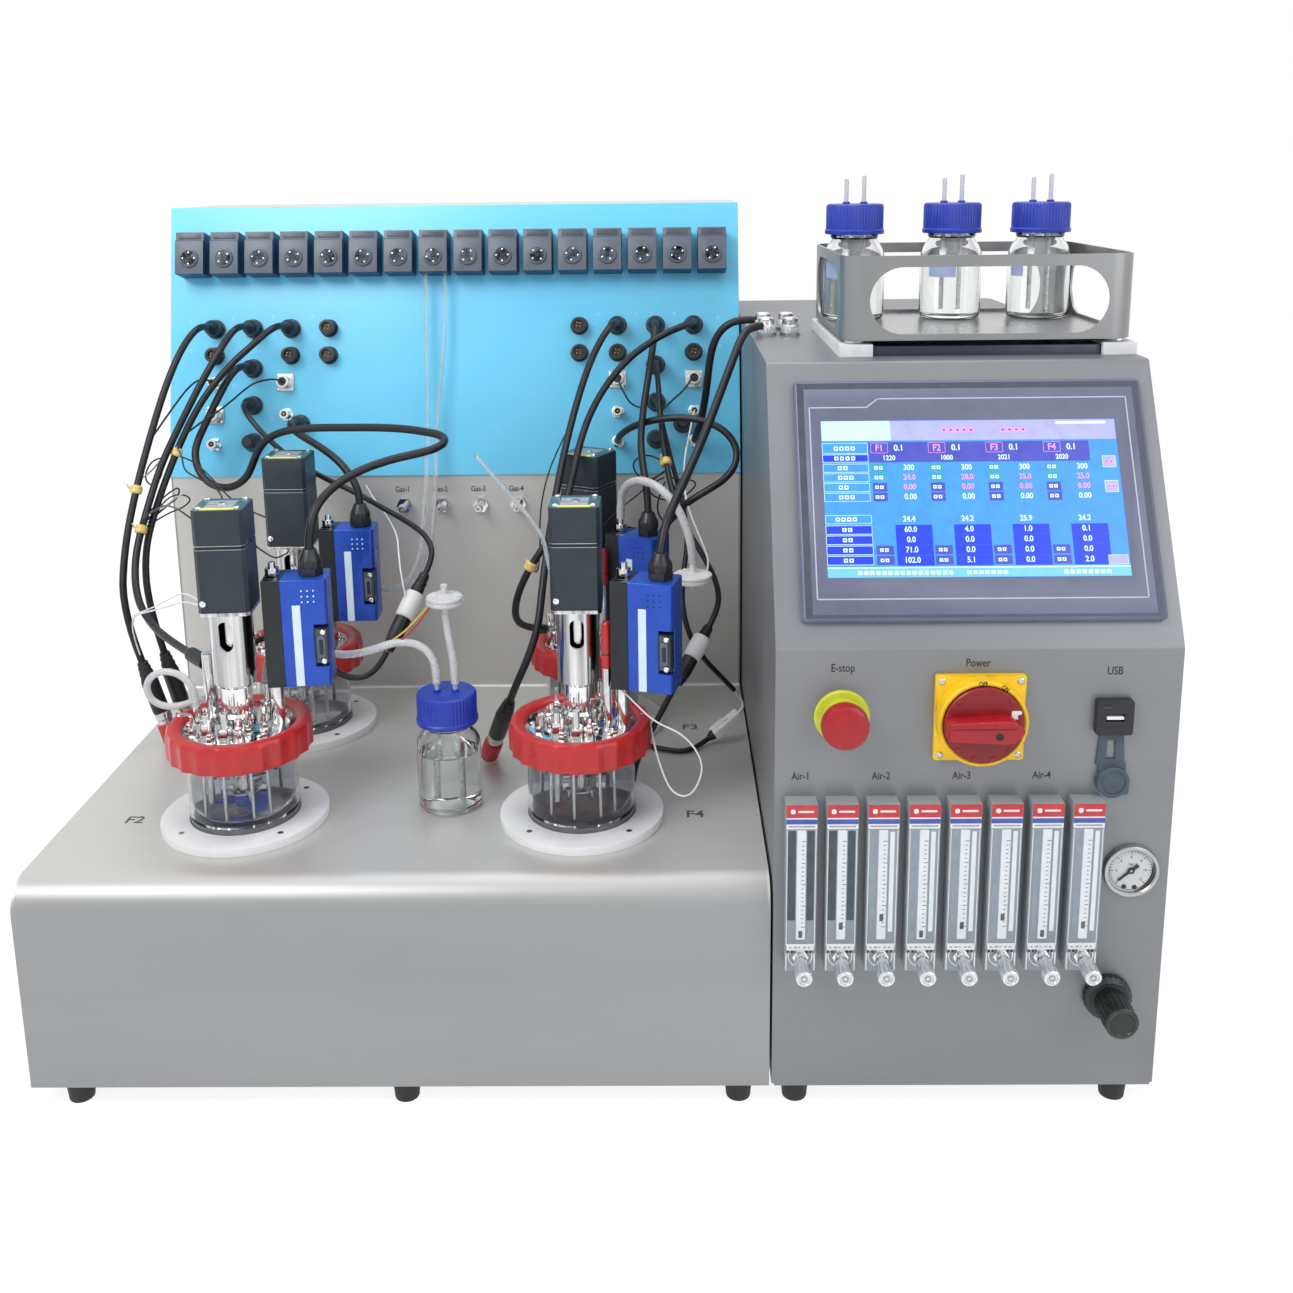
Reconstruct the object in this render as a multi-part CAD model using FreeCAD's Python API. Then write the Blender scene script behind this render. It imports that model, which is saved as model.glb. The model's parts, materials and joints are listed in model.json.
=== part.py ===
import FreeCAD, Part

import math
import os

# Bench bioreactor: four stirred glass vessels on a stainless base with a leaning pump panel,
# beside a control cabinet with a touch screen, gas flow meters and a bottle rack on its roof.
# Millimetres. Everything is drawn from the front left corner of the base at floor level,
# +X to the right, +Y to the back, +Z up. save() then moves it to the middle of the footprint.

V = FreeCAD.Vector
UP = V(0, 0, 1)

# ---- driving dimensions: housings ----
sheet = 2.0                 # stainless sheet
foot_height = 20.0
base_width = 600.0
housing_depth = 640.0
deck_height = 198.0
deck_depth = 416.0          # front face to the riser
front_bend = 26.0           # big round bend between front and deck
riser_top = 434.0           # where the leaning panel starts
panel_lean = 14.0           # degrees from upright
panel_length = 285.5
panel_sheet = 2.5
cabinet_gap = 2.0
cabinet_width = 306.0
screen_lean = 29.4
screen_rise = 202.0         # from the knee up to the roof
roof_height = 593.0
small_bend = 4.0
foot_radius = 12.0
foot_inset = 17.0
base_feet_x = (33.0, 303.0, 576.0)
cabinet_feet_x = (20.0, 280.0)
base_vent_drop = 381.0      # below the top
cabinet_vent_drop = 213.0
vent_pitch = 80.0

# ---- vessels ----
vessel_middle = 300.0
vessel_spread = 292.0       # left to right between axes
vessel_front = 116.0
vessel_pitch = 200.0        # front to back between axes
flange_radius = 70.4
flange_thickness = 7.7
heater_thickness = 3.0
glass_radius = 46.0
glass_clearance = 0.4
glass_wall = 3.0
glass_floor = 9.0
ring_bottom = 264.0
ring_top = 289.5
ring_radius = 61.0
ring_opening = 47.0
ring_lip = 5.0
ring_crown = 4.0
thread_radius = 54.0
head_flange = 5.0
head_radius = 45.5
head_top = 286.0
dip_tube_radius = 3.0
stirrer_tube_radius = 11.0
tube_bore = 6.0
housing_bottom = 325.0
housing_radius = 18.0
housing_bore = 14.5
motor_bottom = 391.5
motor_plate = 3.0
motor_size = 42.0
motor_rear_height = 31.0
motor_height = 87.0
shaft_radius = 4.0
impeller_radius = 19.0

# ---- condensers ----
sink_width = 15.0
condenser_width = 38.0
condenser_depth = 34.0
condenser_height = 93.0
gland_radius = 9.0
gland_height = 22.0

# ---- pump panel ----
pump_count = 16
pump_pitch = 36.2
pump_width = 29.4
pump_height = 44.0
pump_depth = 27.0
pump_row = 232.6            # up the slope
socket_pitch = 40.0
socket_left = 48.0
socket_length = 20.0
socket_rows = (156.0, 127.5, 114.0, 75.0, 36.0)
coax_rows = (99.0, 65.0, 34.0)
coax_shifts = (6.0, 4.0)    # left of the third column
barb_first = 246.0
barb_pitch = 40.0
barb_height = 402.5

# ---- cabinet front; the drops are measured down from the knee ----
controls_drop = 53.0
stop_x = 50.6
switch_x = 153.8
usb_x = 255.0
screen_width = 274.0
screen_height = 193.0
screen_start = 20.0
screen_left = 20.0
screen_thickness = 8.0
meter_count = 8
meter_first = 19.8
meter_pitch = 31.1
meter_width = 24.0
meter_depth = 15.0
meter_drop = 258.5          # to the meters' lower edge
meter_height = 140.5
valve_height = 13.2         # above the meter's bottom edge
valve_stem = 12.0
valve_length = 20.0
valve_radius = 6.6
gauge_x = 276.4
gauge_drop = 181.0
gauge_radius = 21.5
regulator_x = 264.4
regulator_drop = 289.6
regulator_radius = 13.0
regulator_length = 30.0

# ---- rack and bottles ----
rack_x = 184.0              # middle, from the cabinet's left side
rack_width = 240.0
rack_depth = 204.0
rack_front = 141.0
rack_height = 69.0
rack_corner = 20.0
rail_width = 28.0
rail_height = 10.0
rack_foot = 3.0
bottle_radius = 28.0
bottle_wall = 2.2
bottle_neck = 20.0
bottle_shoulder = 74.0      # height where the neck starts
bottle_height = 100.0
cap_radius = 27.0
cap_height = 27.0

# ---- sockets and barbs ----
socket_nut = 9.5
socket_radius = 7.5
roof_socket_height = 16.0
roof_socket_x = 14.0
roof_socket_y = 292.0
roof_socket_pitch_x = 22.0
roof_socket_pitch_y = 44.0
barb_radius = 3.5
barb_length = 22.0
barb_bore = 2.0
inlet_x = 60.0
inlet_height = 120.0

# ---- controls ----
stop_barrel = 11.0
switch_barrel = 8.0
gauge_barrel = 9.0
regulator_barrel = 9.0
usb_body = 22.0
running = 0.05              # radial clearance of shafts and pins
barrel_depth = 20.0
screen_back_depth = 30.0
screen_margin = 8.0
display_inset = (20.5, 33.5, 24.0, 34.0)   # left, bottom, right, top
display_recess = 1.5
stop_stem = 8.0
switch_stem = 5.0

# ---- head fittings ----
# back left, front left, back right, front right; the heads were screwed down by hand, so none sits alike
motor_turns = (0.0, 4.0, -28.0, 0.0)
condenser_turns = (2.0, 6.0, -32.0, -16.0)
condenser_reaches = (28.0, 29.5, 30.0, 34.0)      # vessel axis to the near face of the heat sink
condenser_bottoms = (313.0, 323.0, 312.0, 325.0)
# probe heads: right and back of the vessel axis, radius, top
probes = ((-34.0, 12.0, 5.5, 340.0), (-28.5, 17.6, 5.5, 343.0),
          (-39.1, -7.9, 5.5, 318.0), (24.5, -18.0, 4.0, 341.0))
port_ring = 33.0
port_nut = 6.5
ports = ((60.0, 9.0, 16.0), (100.0, 12.0, 13.0), (238.0, 12.0, 8.0), (268.0, 9.0, 14.0))
dip_tubes = ((60.0, 46.0), (238.0, 52.0))
riser_inset = 4.0
nozzle_inset = 7.0
riser_radius = 6.0
nozzle_radius = 3.0
nozzle_height = 12.0
sample_port = (116.4, 121.3, 300.0)
red_plug_back = (459.7, 278.4, 357.0)
ring_grips = 12
ring_root = 58.0
thread_clearance = 0.4
head_hub = 15.0
hub_height = 7.0
shaft_seat = 6.0

# ---- more of the meters and the rack ----
meter_bore = 3.6
valve_stem_radius = 3.0
valve_seat = 6.0            # the stem's length inside the block
float_rest = 29.0           # above the meter's lower edge
float_step = 7.0
window_height = 54.5
front_window = 195.0
side_window = 150.0
bottle_places = ((-89.4, 154.0), (1.0, 159.0), (81.0, 154.0))
deck_bottle = (328.0, 143.0)

# ---- worked out ----
cabinet_left = base_width + cabinet_gap
knee_height = roof_height - screen_rise
controls_height = knee_height - controls_drop
meter_bottom = knee_height - meter_drop
gauge_height = knee_height - gauge_drop
regulator_height = knee_height - regulator_drop
overall_width = cabinet_left + cabinet_width
lean = math.radians(panel_lean)
panel_back = deck_depth + panel_length * math.sin(lean)
panel_top = riser_top + panel_length * math.cos(lean)
slant = math.radians(screen_lean)
slant_back = screen_rise * math.tan(slant)
valve_reach = meter_depth + valve_stem + valve_length
vessels = [(vessel_middle + side * vessel_spread / 2, vessel_front + row * vessel_pitch)
           for side in (-1, 1) for row in (1, 0)]


# ---- small tools ----
def rounded_wire(points):
    """Closed outline in the XY plane; a point is (x, y) or (x, y, corner radius)."""
    firsts = []
    lasts = []
    middles = []
    for index, point in enumerate(points):
        here = V(point[0], point[1], 0)
        radius = point[2] if len(point) > 2 else 0
        if radius <= 0:
            firsts.append(here)
            lasts.append(here)
            middles.append(None)
            continue
        before = V(points[index - 1][0], points[index - 1][1], 0) - here
        after = V(points[(index + 1) % len(points)][0], points[(index + 1) % len(points)][1], 0) - here
        before.normalize()
        after.normalize()
        half = before.getAngle(after) / 2
        inward = before + after
        inward.normalize()
        firsts.append(here + before * (radius / math.tan(half)))
        lasts.append(here + after * (radius / math.tan(half)))
        middles.append(here + inward * (radius / math.sin(half) - radius))
    edges = []
    for index, first in enumerate(firsts):
        if middles[index] is not None:
            edges.append(Part.Arc(first, middles[index], lasts[index]).toShape())
        following = firsts[(index + 1) % len(firsts)]
        if (following - lasts[index]).Length > 1e-6:
            edges.append(Part.LineSegment(lasts[index], following).toShape())
    return Part.Wire(edges)


def prism(points, height, bottom=0.0):
    """Upright prism on a rounded outline."""
    solid = Part.Face(rounded_wire(points)).extrude(V(0, 0, height))
    solid.translate(V(0, 0, bottom))
    return solid


def across(points, left, right):
    """Prism along X on an outline of (y, z) points."""
    solid = prism(points, right - left, left)
    solid.Placement = FreeCAD.Placement(V(), FreeCAD.Rotation(V(1, 1, 1), 120)).multiply(solid.Placement)
    return solid


def offset_line(points, distance):
    """The open (y, z) line moved to its right by a distance, with mitred corners."""
    moved = []
    for index, point in enumerate(points):
        normals = []
        for start, end in ((index - 1, index), (index, index + 1)):
            if start < 0 or end >= len(points):
                continue
            run = V(points[end][0] - points[start][0], points[end][1] - points[start][1], 0)
            run.normalize()
            normals.append(V(run.y, -run.x, 0))
        both = normals[0] + normals[-1]
        share = distance / (1 + normals[0].dot(normals[-1]))
        turn = normals[0].cross(normals[-1]).z
        radius = point[2] if len(point) > 2 else 0
        if radius > 0:
            radius = radius - distance if turn < 0 else radius + distance
        moved.append((point[0] + both.x * share, point[1] + both.y * share, radius))
    return moved


def folded(points, left, right):
    """Folded sheet between two X values; the (y, z, bend radius) line is its outer face."""
    line = [points[0][:2]] + list(points[1:-1]) + [points[-1][:2]]
    return across(line + offset_line(line, sheet)[::-1], left, right)


def box(x0, x1, y0, y1, z0, z1):
    return Part.makeBox(x1 - x0, y1 - y0, z1 - z0, V(x0, y0, z0))


def rod(x, y, z0, z1, radius):
    return Part.makeCylinder(radius, z1 - z0, V(x, y, z0))


def turned(profile, x=0.0, y=0.0):
    """Solid turned about an upright axis from a closed (radius, z) outline with rounded corners."""
    wire = rounded_wire(profile)
    wire.Placement = FreeCAD.Placement(V(x, y, 0), FreeCAD.Rotation(V(1, 0, 0), 90)).multiply(wire.Placement)
    return Part.Face(wire).revolve(V(x, y, 0), UP, 360)


def stand(solid, x, y, z, slope=0.0):
    """Stands a piece drawn flat (right, up, outwards) on a front face that leans back by slope degrees."""
    place = FreeCAD.Placement(V(x, y, z), FreeCAD.Rotation(V(1, 0, 0), 90 - slope))
    solid.Placement = place.multiply(solid.Placement)
    return solid


def stadium(width, height, depth, x, y, z):
    """Flat slot with round ends, drawn as (right, up, outwards)."""
    half_width = width / 2
    half_height = height / 2
    end = min(half_width, half_height) - 0.01
    points = [(x + side_x * half_width, y + side_y * half_height, end)
              for side_x, side_y in ((-1, -1), (1, -1), (1, 1), (-1, 1))]
    return prism(points, depth, z)


def fuse(solids):
    return solids[0].multiFuse(solids[1:]).removeSplitter() if len(solids) > 1 else solids[0]


def save(name, solids):
    """Writes one node, moved so that the origin is at the middle of the footprint."""
    shape = Part.makeCompound(solids) if len(solids) > 1 else solids[0]
    shape = shape.copy()
    shape.translate(V(-overall_width / 2, -(housing_depth + barb_length - valve_reach) / 2, 0))
    shape.exportStep("parts/" + name + ".step")


# ---- housings ----
def base_outline():
    return [(0, foot_height), (0, deck_height, front_bend), (deck_depth, deck_height, small_bend),
            (deck_depth, riser_top), (panel_back, panel_top, small_bend),
            (housing_depth, panel_top, small_bend), (housing_depth, foot_height, small_bend)]


def cabinet_outline():
    return [(0, foot_height, small_bend), (0, knee_height, small_bend), (slant_back, roof_height, small_bend),
            (housing_depth, roof_height, small_bend), (housing_depth, foot_height, small_bend)]


def make_base():
    inner_right = base_width - sheet
    save("base_shell", [folded(base_outline()[:4], sheet, inner_right)])
    outline = base_outline()
    save("base_sides", [across(outline, 0, sheet), across(outline, inner_right, base_width)])
    back_line = [(panel_back, panel_top), outline[5], outline[6], (sheet, foot_height)]
    tray = folded(back_line, sheet, inner_right)
    save("base_tray", [tray.cut(vent_slots(base_width / 2, panel_top - base_vent_drop))])
    panel = prism([(0, 0), (base_width, 0), (base_width, panel_length), (0, panel_length)], panel_sheet)
    save("pump_panel", [on_panel(panel)])


def vent_slots(middle, bottom):
    """Rows of cooling slots through the back sheet."""
    slots = []
    for column in (-1, 0, 1):
        for row in range(6):
            x = middle + column * vent_pitch
            z = bottom + row * 14.0
            slots.append(box(x - 30, x + 30, housing_depth - 2 * sheet, housing_depth + sheet, z, z + 5))
    return Part.makeCompound(slots)


def on_panel(solid):
    return stand(solid, 0, deck_depth, riser_top, panel_lean)


def on_front(solid, x, z, out=0.0):
    return stand(solid, cabinet_left + x, -out, z)


def on_screen(solid):
    return stand(solid, cabinet_left, 0, knee_height, screen_lean)


def make_cabinet():
    left = cabinet_left + sheet
    right = overall_width - sheet
    shell = folded(cabinet_outline()[:3] + [(housing_depth, roof_height)], left, right)
    holes = []
    round_holes = ((stop_x, controls_height, stop_barrel), (switch_x, controls_height, switch_barrel),
                   (gauge_x, gauge_height, gauge_barrel), (regulator_x, regulator_height, regulator_barrel))
    for x, z, radius in round_holes:
        holes.append(on_front(Part.makeCylinder(radius, 4 * sheet, V(0, 0, -2 * sheet)), x, z))
    holes.append(on_front(prism(square(usb_body), 4 * sheet, -2 * sheet), usb_x, controls_height))
    holes.append(on_screen(prism(screen_back_outline(), 4 * sheet, -2 * sheet)))
    save("cabinet_shell", [shell.cut(Part.makeCompound(holes))])
    save("cabinet_sides", [across(cabinet_outline(), cabinet_left, left),
                           across(cabinet_outline(), right, overall_width)])
    back_line = [(housing_depth, roof_height - sheet), (housing_depth, foot_height, small_bend),
                 (sheet, foot_height)]
    tray = folded(back_line, left, right)
    slots = vent_slots(cabinet_left + cabinet_width / 2, roof_height - cabinet_vent_drop)
    save("cabinet_tray", [tray.cut(slots)])


def make_feet():
    feet = []
    places = list(base_feet_x) + [cabinet_left + x for x in cabinet_feet_x]
    for x in places:
        for y in (foot_inset, housing_depth - foot_inset):
            feet.append(Part.makeCone(foot_radius - 2, foot_radius, foot_height, V(x, y, 0)))
    save("rubber_feet", feet)


# ---- controls ----
def square(size, corner=1.0):
    half = size / 2
    return [(-half, -half, corner), (half, -half, corner), (half, half, corner), (-half, half, corner)]


def rectangle(x0, x1, y0, y1, corner=0.0):
    return [(x0, y0, corner), (x1, y0, corner), (x1, y1, corner), (x0, y1, corner)]


def screen_back_outline():
    return rectangle(screen_left + screen_margin, screen_left + screen_width - screen_margin,
                     screen_start + screen_margin, screen_start + screen_height - screen_margin, 3.0)


def make_screen():
    right = screen_left + screen_width
    top = screen_start + screen_height
    frame = prism(rectangle(screen_left, right, screen_start, top, 4.0), screen_thickness)
    back = prism(screen_back_outline(), screen_back_depth, -screen_back_depth)
    left_in, bottom_in, right_in, top_in = display_inset
    window = rectangle(screen_left + left_in, right - right_in, screen_start + bottom_in, top - top_in)
    front_edges = [edge for edge in frame.Edges
                   if abs(edge.BoundBox.ZMin - screen_thickness) < 1e-6 and edge.BoundBox.ZLength < 1e-6]
    bevelled = frame.makeChamfer(2.5, front_edges)
    bezel = fuse([bevelled, back]).cut(prism(window, display_recess, screen_thickness - display_recess))
    save("screen_bezel", [on_screen(bezel)])
    glass = prism(window, display_recess - 0.5, screen_thickness - display_recess)
    save("screen_glass", [on_screen(glass)])


def make_stop():
    collar = Part.makeCylinder(21.0, 3.0)
    neck = Part.makeCylinder(14.0, 8.0)
    barrel = Part.makeCylinder(stop_barrel, barrel_depth, V(0, 0, -barrel_depth))
    bore = Part.makeCylinder(stop_stem + running, barrel_depth + 8.0, V(0, 0, -barrel_depth + 4.0))
    save("stop_collar", [on_front(fuse([collar, neck, barrel]).cut(bore), stop_x, controls_height)])
    head = turned([(0, 12.5), (17.5, 12.5), (18, 22), (15.5, 24.5), (0, 25.5)])
    stem = Part.makeCylinder(stop_stem, 22.5, V(0, 0, -10.0))
    save("stop_button", [on_front(fuse([head, stem]), stop_x, controls_height)])


def make_switch():
    plate = prism(square(68.0, 2.0), 5.0)
    rim = Part.makeCylinder(33.5, 17.0)
    hollow = Part.makeCylinder(30.5, 8.0, V(0, 0, 10.0))
    barrel = Part.makeCylinder(switch_barrel, barrel_depth, V(0, 0, -barrel_depth))
    bore = Part.makeCylinder(switch_stem + running, barrel_depth + 10.0, V(0, 0, -barrel_depth + 6.0))
    body = fuse([plate, rim, barrel]).cut(hollow).cut(bore)
    save("switch_plate", [on_front(body, switch_x, controls_height)])
    disc = Part.makeCylinder(30.0, 10.0, V(0, 0, 10.3))
    grip = prism([(-29, -7, 3), (18, -9, 3), (27, 0, 2), (18, 9, 3), (-29, 7, 3)], 14.0, 20.0)
    stem = Part.makeCylinder(switch_stem, 22.0, V(0, 0, -11.0))
    save("switch_handle", [on_front(fuse([disc, grip, stem]), switch_x, controls_height)])


def make_usb():
    frame = prism(square(28.0, 2.5), 7.0)
    body = prism(square(usb_body), barrel_depth, -barrel_depth)
    slot = prism(rectangle(-7, 7, -3, 3), 16.0, -9.0)
    save("usb_socket", [on_front(fuse([frame, body]).cut(slot), usb_x, controls_height)])
    strap_top = -14.0
    strap = prism([(-9, strap_top), (-11, -40), (11, -40), (9, strap_top)], 2.0)
    window = prism([(-3, strap_top - 6), (-3.5, -35), (3.5, -35), (3, strap_top - 6)], 4.0, -1.0)
    disc = Part.makeCylinder(12.5, 5.0, V(2, -53, 0))
    tab = prism(rectangle(4, 15, -64, -53, 2.0), 3.0)
    neck = prism(rectangle(-9, 12, -48, -38, 1.0), 2.0)
    cap = fuse([strap.cut(window), neck, disc, tab])
    save("usb_cap", [on_front(cap, usb_x, controls_height)])


def make_gauge():
    dial = gauge_radius - 3.5
    case = turned([(0, 0), (gauge_radius, 0), (gauge_radius, 4), (gauge_radius - 1, 5), (dial, 5),
                   (dial, 1.5), (0, 1.5)])
    barrel = Part.makeCylinder(gauge_barrel, barrel_depth, V(0, 0, -barrel_depth))
    pin = Part.makeCylinder(0.8, 3.4)
    save("gauge_case", [on_front(fuse([case, barrel, pin]), gauge_x, gauge_height)])
    needle = prism([(-1.5, -7), (1.5, -7), (0.6, 13), (-0.6, 13)], 0.6, 2.3)
    hub = Part.makeCylinder(2.6, 0.8, V(0, 0, 2.3))
    hand = fuse([needle, hub]).cut(Part.makeCylinder(0.8 + running, 4.0))
    hand.rotate(V(), UP, 130)
    save("gauge_needle", [on_front(hand, gauge_x, gauge_height)])


def make_regulator():
    nut = turned([(0, 0), (18.5, 0), (18.5, 6), (14, 9), (0, 9)])
    barrel = Part.makeCylinder(regulator_barrel, barrel_depth, V(0, 0, -barrel_depth))
    bore = Part.makeCylinder(4.0 + running, 20.0, V(0, 0, -8.0))
    save("regulator_body", [on_front(fuse([nut, barrel]).cut(bore), regulator_x, regulator_height)])
    end = 9.3 + regulator_length
    grip = turned([(0, 9.3), (regulator_radius - 1, 9.3), (regulator_radius, end - 2),
                   (regulator_radius - 2, end), (0, end)])
    stem = Part.makeCylinder(4.0, 16.0, V(0, 0, -6.0))
    save("regulator_knob", [on_front(fuse([grip, stem]), regulator_x, regulator_height)])


# ---- flow meters ----
def make_meters():
    blocks = []
    floats = []
    for index in range(meter_count):
        x = meter_first + index * meter_pitch
        block = prism(rectangle(-meter_width / 2, meter_width / 2, 0, meter_height), meter_depth)
        tube = Part.makeCylinder(meter_bore, meter_height - 46.0, V(0, 28.0, meter_depth / 2), V(0, 1, 0))
        seat = Part.makeCylinder(valve_stem_radius + running, valve_seat + 2.0,
                                 V(0, valve_height, meter_depth - valve_seat - 1.0))
        blocks.append(on_front(block.cut(tube).cut(seat), x, meter_bottom))
        rest = V(0, float_rest + float_step * (index % 3), meter_depth / 2)
        ball = Part.makeCone(1.2, 3.0, 5.0, rest, V(0, 1, 0))
        floats.append(on_front(ball, x, meter_bottom))
        stem = Part.makeCylinder(valve_stem_radius, valve_seat + valve_stem,
                                 V(0, valve_height, meter_depth - valve_seat))
        grip = turned([(0, 0), (valve_radius, 0), (valve_radius, valve_length - 1),
                       (valve_radius - 1, valve_length), (0, valve_length)])
        grip.translate(V(0, valve_height, meter_depth + valve_stem))
        save("valve_knob_%d" % (index + 1), [on_front(fuse([stem, grip]), x, meter_bottom)])
    save("flow_meters", blocks)
    save("meter_floats", floats)


# ---- vessels ----

def hexagon(radius):
    turns = [math.radians(60 * step) for step in range(6)]
    return [(radius * math.cos(turn), radius * math.sin(turn)) for turn in turns]


def glass_profile():
    wall = glass_radius - glass_wall
    bottom = deck_height + heater_thickness
    top = ring_top - ring_lip - head_flange
    thread = thread_radius - thread_clearance
    outside = [(0, bottom), (glass_radius - 3, bottom), (glass_radius, bottom + 3),
               (glass_radius, ring_bottom - 2), (thread, ring_bottom + 2), (thread, top)]
    inside = [(wall, top), (wall, bottom + glass_floor + 12), (wall - 12, bottom + glass_floor),
              (0, bottom + glass_floor)]
    return outside + inside


def clamp_ring(x, y):
    """Screw ring with a lip over the head plate and finger grips around it."""
    outline = []
    notch = ((-0.2, ring_radius), (-0.1, ring_root), (0.1, ring_root), (0.2, ring_radius), (0.5, ring_radius))
    for step in range(ring_grips):
        for share, radius in notch:
            angle = 2 * math.pi * (step + share) / ring_grips
            outline.append((radius * math.cos(angle), radius * math.sin(angle)))
    ring = prism(outline, ring_top - ring_bottom, ring_bottom)
    crown = turned([(0, ring_bottom), (ring_radius, ring_bottom), (ring_radius, ring_top - ring_crown),
                    (ring_radius - ring_crown, ring_top), (0, ring_top)])
    ring = ring.common(crown)
    ring = ring.cut(rod(0, 0, ring_bottom - 1, ring_top - ring_lip, thread_radius))
    ring = ring.cut(rod(0, 0, ring_bottom, ring_top + 1, ring_opening))
    ring.translate(V(x, y, 0))
    return ring


def head_plate(x, y):
    under = ring_top - ring_lip - head_flange
    rim = thread_radius - thread_clearance
    plate = turned([(shaft_radius + running, under), (rim, under), (rim, ring_top - ring_lip),
                    (head_radius, ring_top - ring_lip), (head_radius, head_top), (head_hub, head_top),
                    (head_hub, head_top + hub_height), (shaft_radius + running, head_top + hub_height)])
    plate.translate(V(x, y, 0))
    return plate


def head_fittings(x, y, index):
    """Ports, probe and condenser tube on the head plate, and the tubes that dip into the vessel."""
    condenser_turn = condenser_turns[index]
    right, back, probe_radius, probe_top = probes[index]
    pieces = [rod(right, back, head_top, probe_top, probe_radius)]
    if index == 1:
        pieces.append(rod(sample_port[0] - x, sample_port[1] - y, head_top, sample_port[2], dip_tube_radius))
    if index == 2:
        pieces.append(rod(red_plug_back[0] - x, red_plug_back[1] - y, head_top, red_plug_back[2], 4.0))
    for angle, nut_height, stub_height in ports:
        turn = math.radians(angle)
        nut = prism(hexagon(port_nut), nut_height, head_top)
        stub = rod(0, 0, head_top + nut_height, head_top + nut_height + stub_height, dip_tube_radius)
        fitting = fuse([nut, stub])
        fitting.translate(V(port_ring * math.cos(turn), port_ring * math.sin(turn), 0))
        pieces.append(fitting)
    turn = math.radians(condenser_turn)
    riser_ring = condenser_reaches[index] + riser_inset
    bottom = condenser_bottoms[index]
    top = bottom + condenser_height
    riser_x = riser_ring * math.cos(turn)
    riser_y = riser_ring * math.sin(turn)
    pieces.append(rod(riser_x, riser_y, head_top, bottom, riser_radius))
    nozzle = turned([(0, top), (riser_radius, top), (riser_radius, top + 7), (nozzle_radius, top + 7),
                     (nozzle_radius, top + nozzle_height), (0, top + nozzle_height)])
    nozzle_ring = condenser_reaches[index] + nozzle_inset
    nozzle.translate(V(nozzle_ring * math.cos(turn), nozzle_ring * math.sin(turn), 0))
    pieces.append(nozzle)
    under = ring_top - ring_lip - head_flange
    for angle, depth in dip_tubes:
        turn = math.radians(angle)
        dip_x = port_ring * math.cos(turn)
        dip_y = port_ring * math.sin(turn)
        pieces.append(rod(dip_x, dip_y, under - depth, under, dip_tube_radius))
    for piece in pieces:
        piece.translate(V(x, y, 0))
    return pieces


def coupling_housing(x, y, motor_turn):
    under = motor_bottom - motor_plate
    outside = [(tube_bore, head_top + hub_height), (stirrer_tube_radius, head_top + hub_height),
               (stirrer_tube_radius, housing_bottom), (housing_radius, housing_bottom),
               (housing_radius, under)]
    inside = [(housing_bore, under), (housing_bore, housing_bottom + 6), (tube_bore, housing_bottom + 6)]
    housing = turned(outside + inside)
    plate = prism(bevelled_square(motor_size), motor_plate, under)
    plate = plate.cut(rod(0, 0, under - 1, motor_bottom + 1, tube_bore))
    plate.rotate(V(), UP, motor_turn)
    housing = fuse([housing, plate])
    slot = stadium(12.0, 26.0, 2 * housing_radius, 0, 0, 0)
    housing = housing.cut(stand(slot, 0, 0, motor_bottom - 22.0))
    housing.translate(V(x, y, 0))
    return housing


def bevelled_square(size):
    half = size / 2
    cut = half - 3.0
    return [(-cut, -half), (cut, -half), (half, -cut), (half, cut),
            (cut, half), (-cut, half), (-half, cut), (-half, -cut)]


def stirrer_motor(x, y, motor_turn):
    split = motor_bottom + motor_height - motor_rear_height
    lower = prism(bevelled_square(motor_size), split - motor_bottom - 1.0, motor_bottom)
    waist = prism(bevelled_square(motor_size - 2.0), 1.0, split - 1.0)
    upper = prism(bevelled_square(motor_size), motor_rear_height, split)
    motor = fuse([lower, waist, upper]).cut(rod(0, 0, motor_bottom - 1, motor_bottom + shaft_seat + 1,
                                                shaft_radius + running))
    motor.rotate(V(), UP, motor_turn)
    motor.translate(V(x, y, 0))
    return motor


def agitator(x, y):
    """Motor shaft, coupling and stirrer shaft in line, with a six-bladed disc impeller."""
    bottom = deck_height + heater_thickness + glass_floor + 10.0
    shaft = rod(0, 0, bottom, motor_bottom + shaft_seat, shaft_radius)
    coupling = rod(0, 0, motor_bottom - 42.0, motor_bottom - 8.0, 10.0)
    disc = rod(0, 0, bottom + 6.0, bottom + 8.0, 13.0)
    pieces = [shaft, coupling, disc]
    for step in range(6):
        blade = box(8.0, impeller_radius, -0.8, 0.8, bottom + 2.0, bottom + 12.0)
        blade.rotate(V(), UP, step * 60)
        pieces.append(blade)
    whole = fuse(pieces)
    whole.translate(V(x, y, 0))
    return whole


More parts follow.
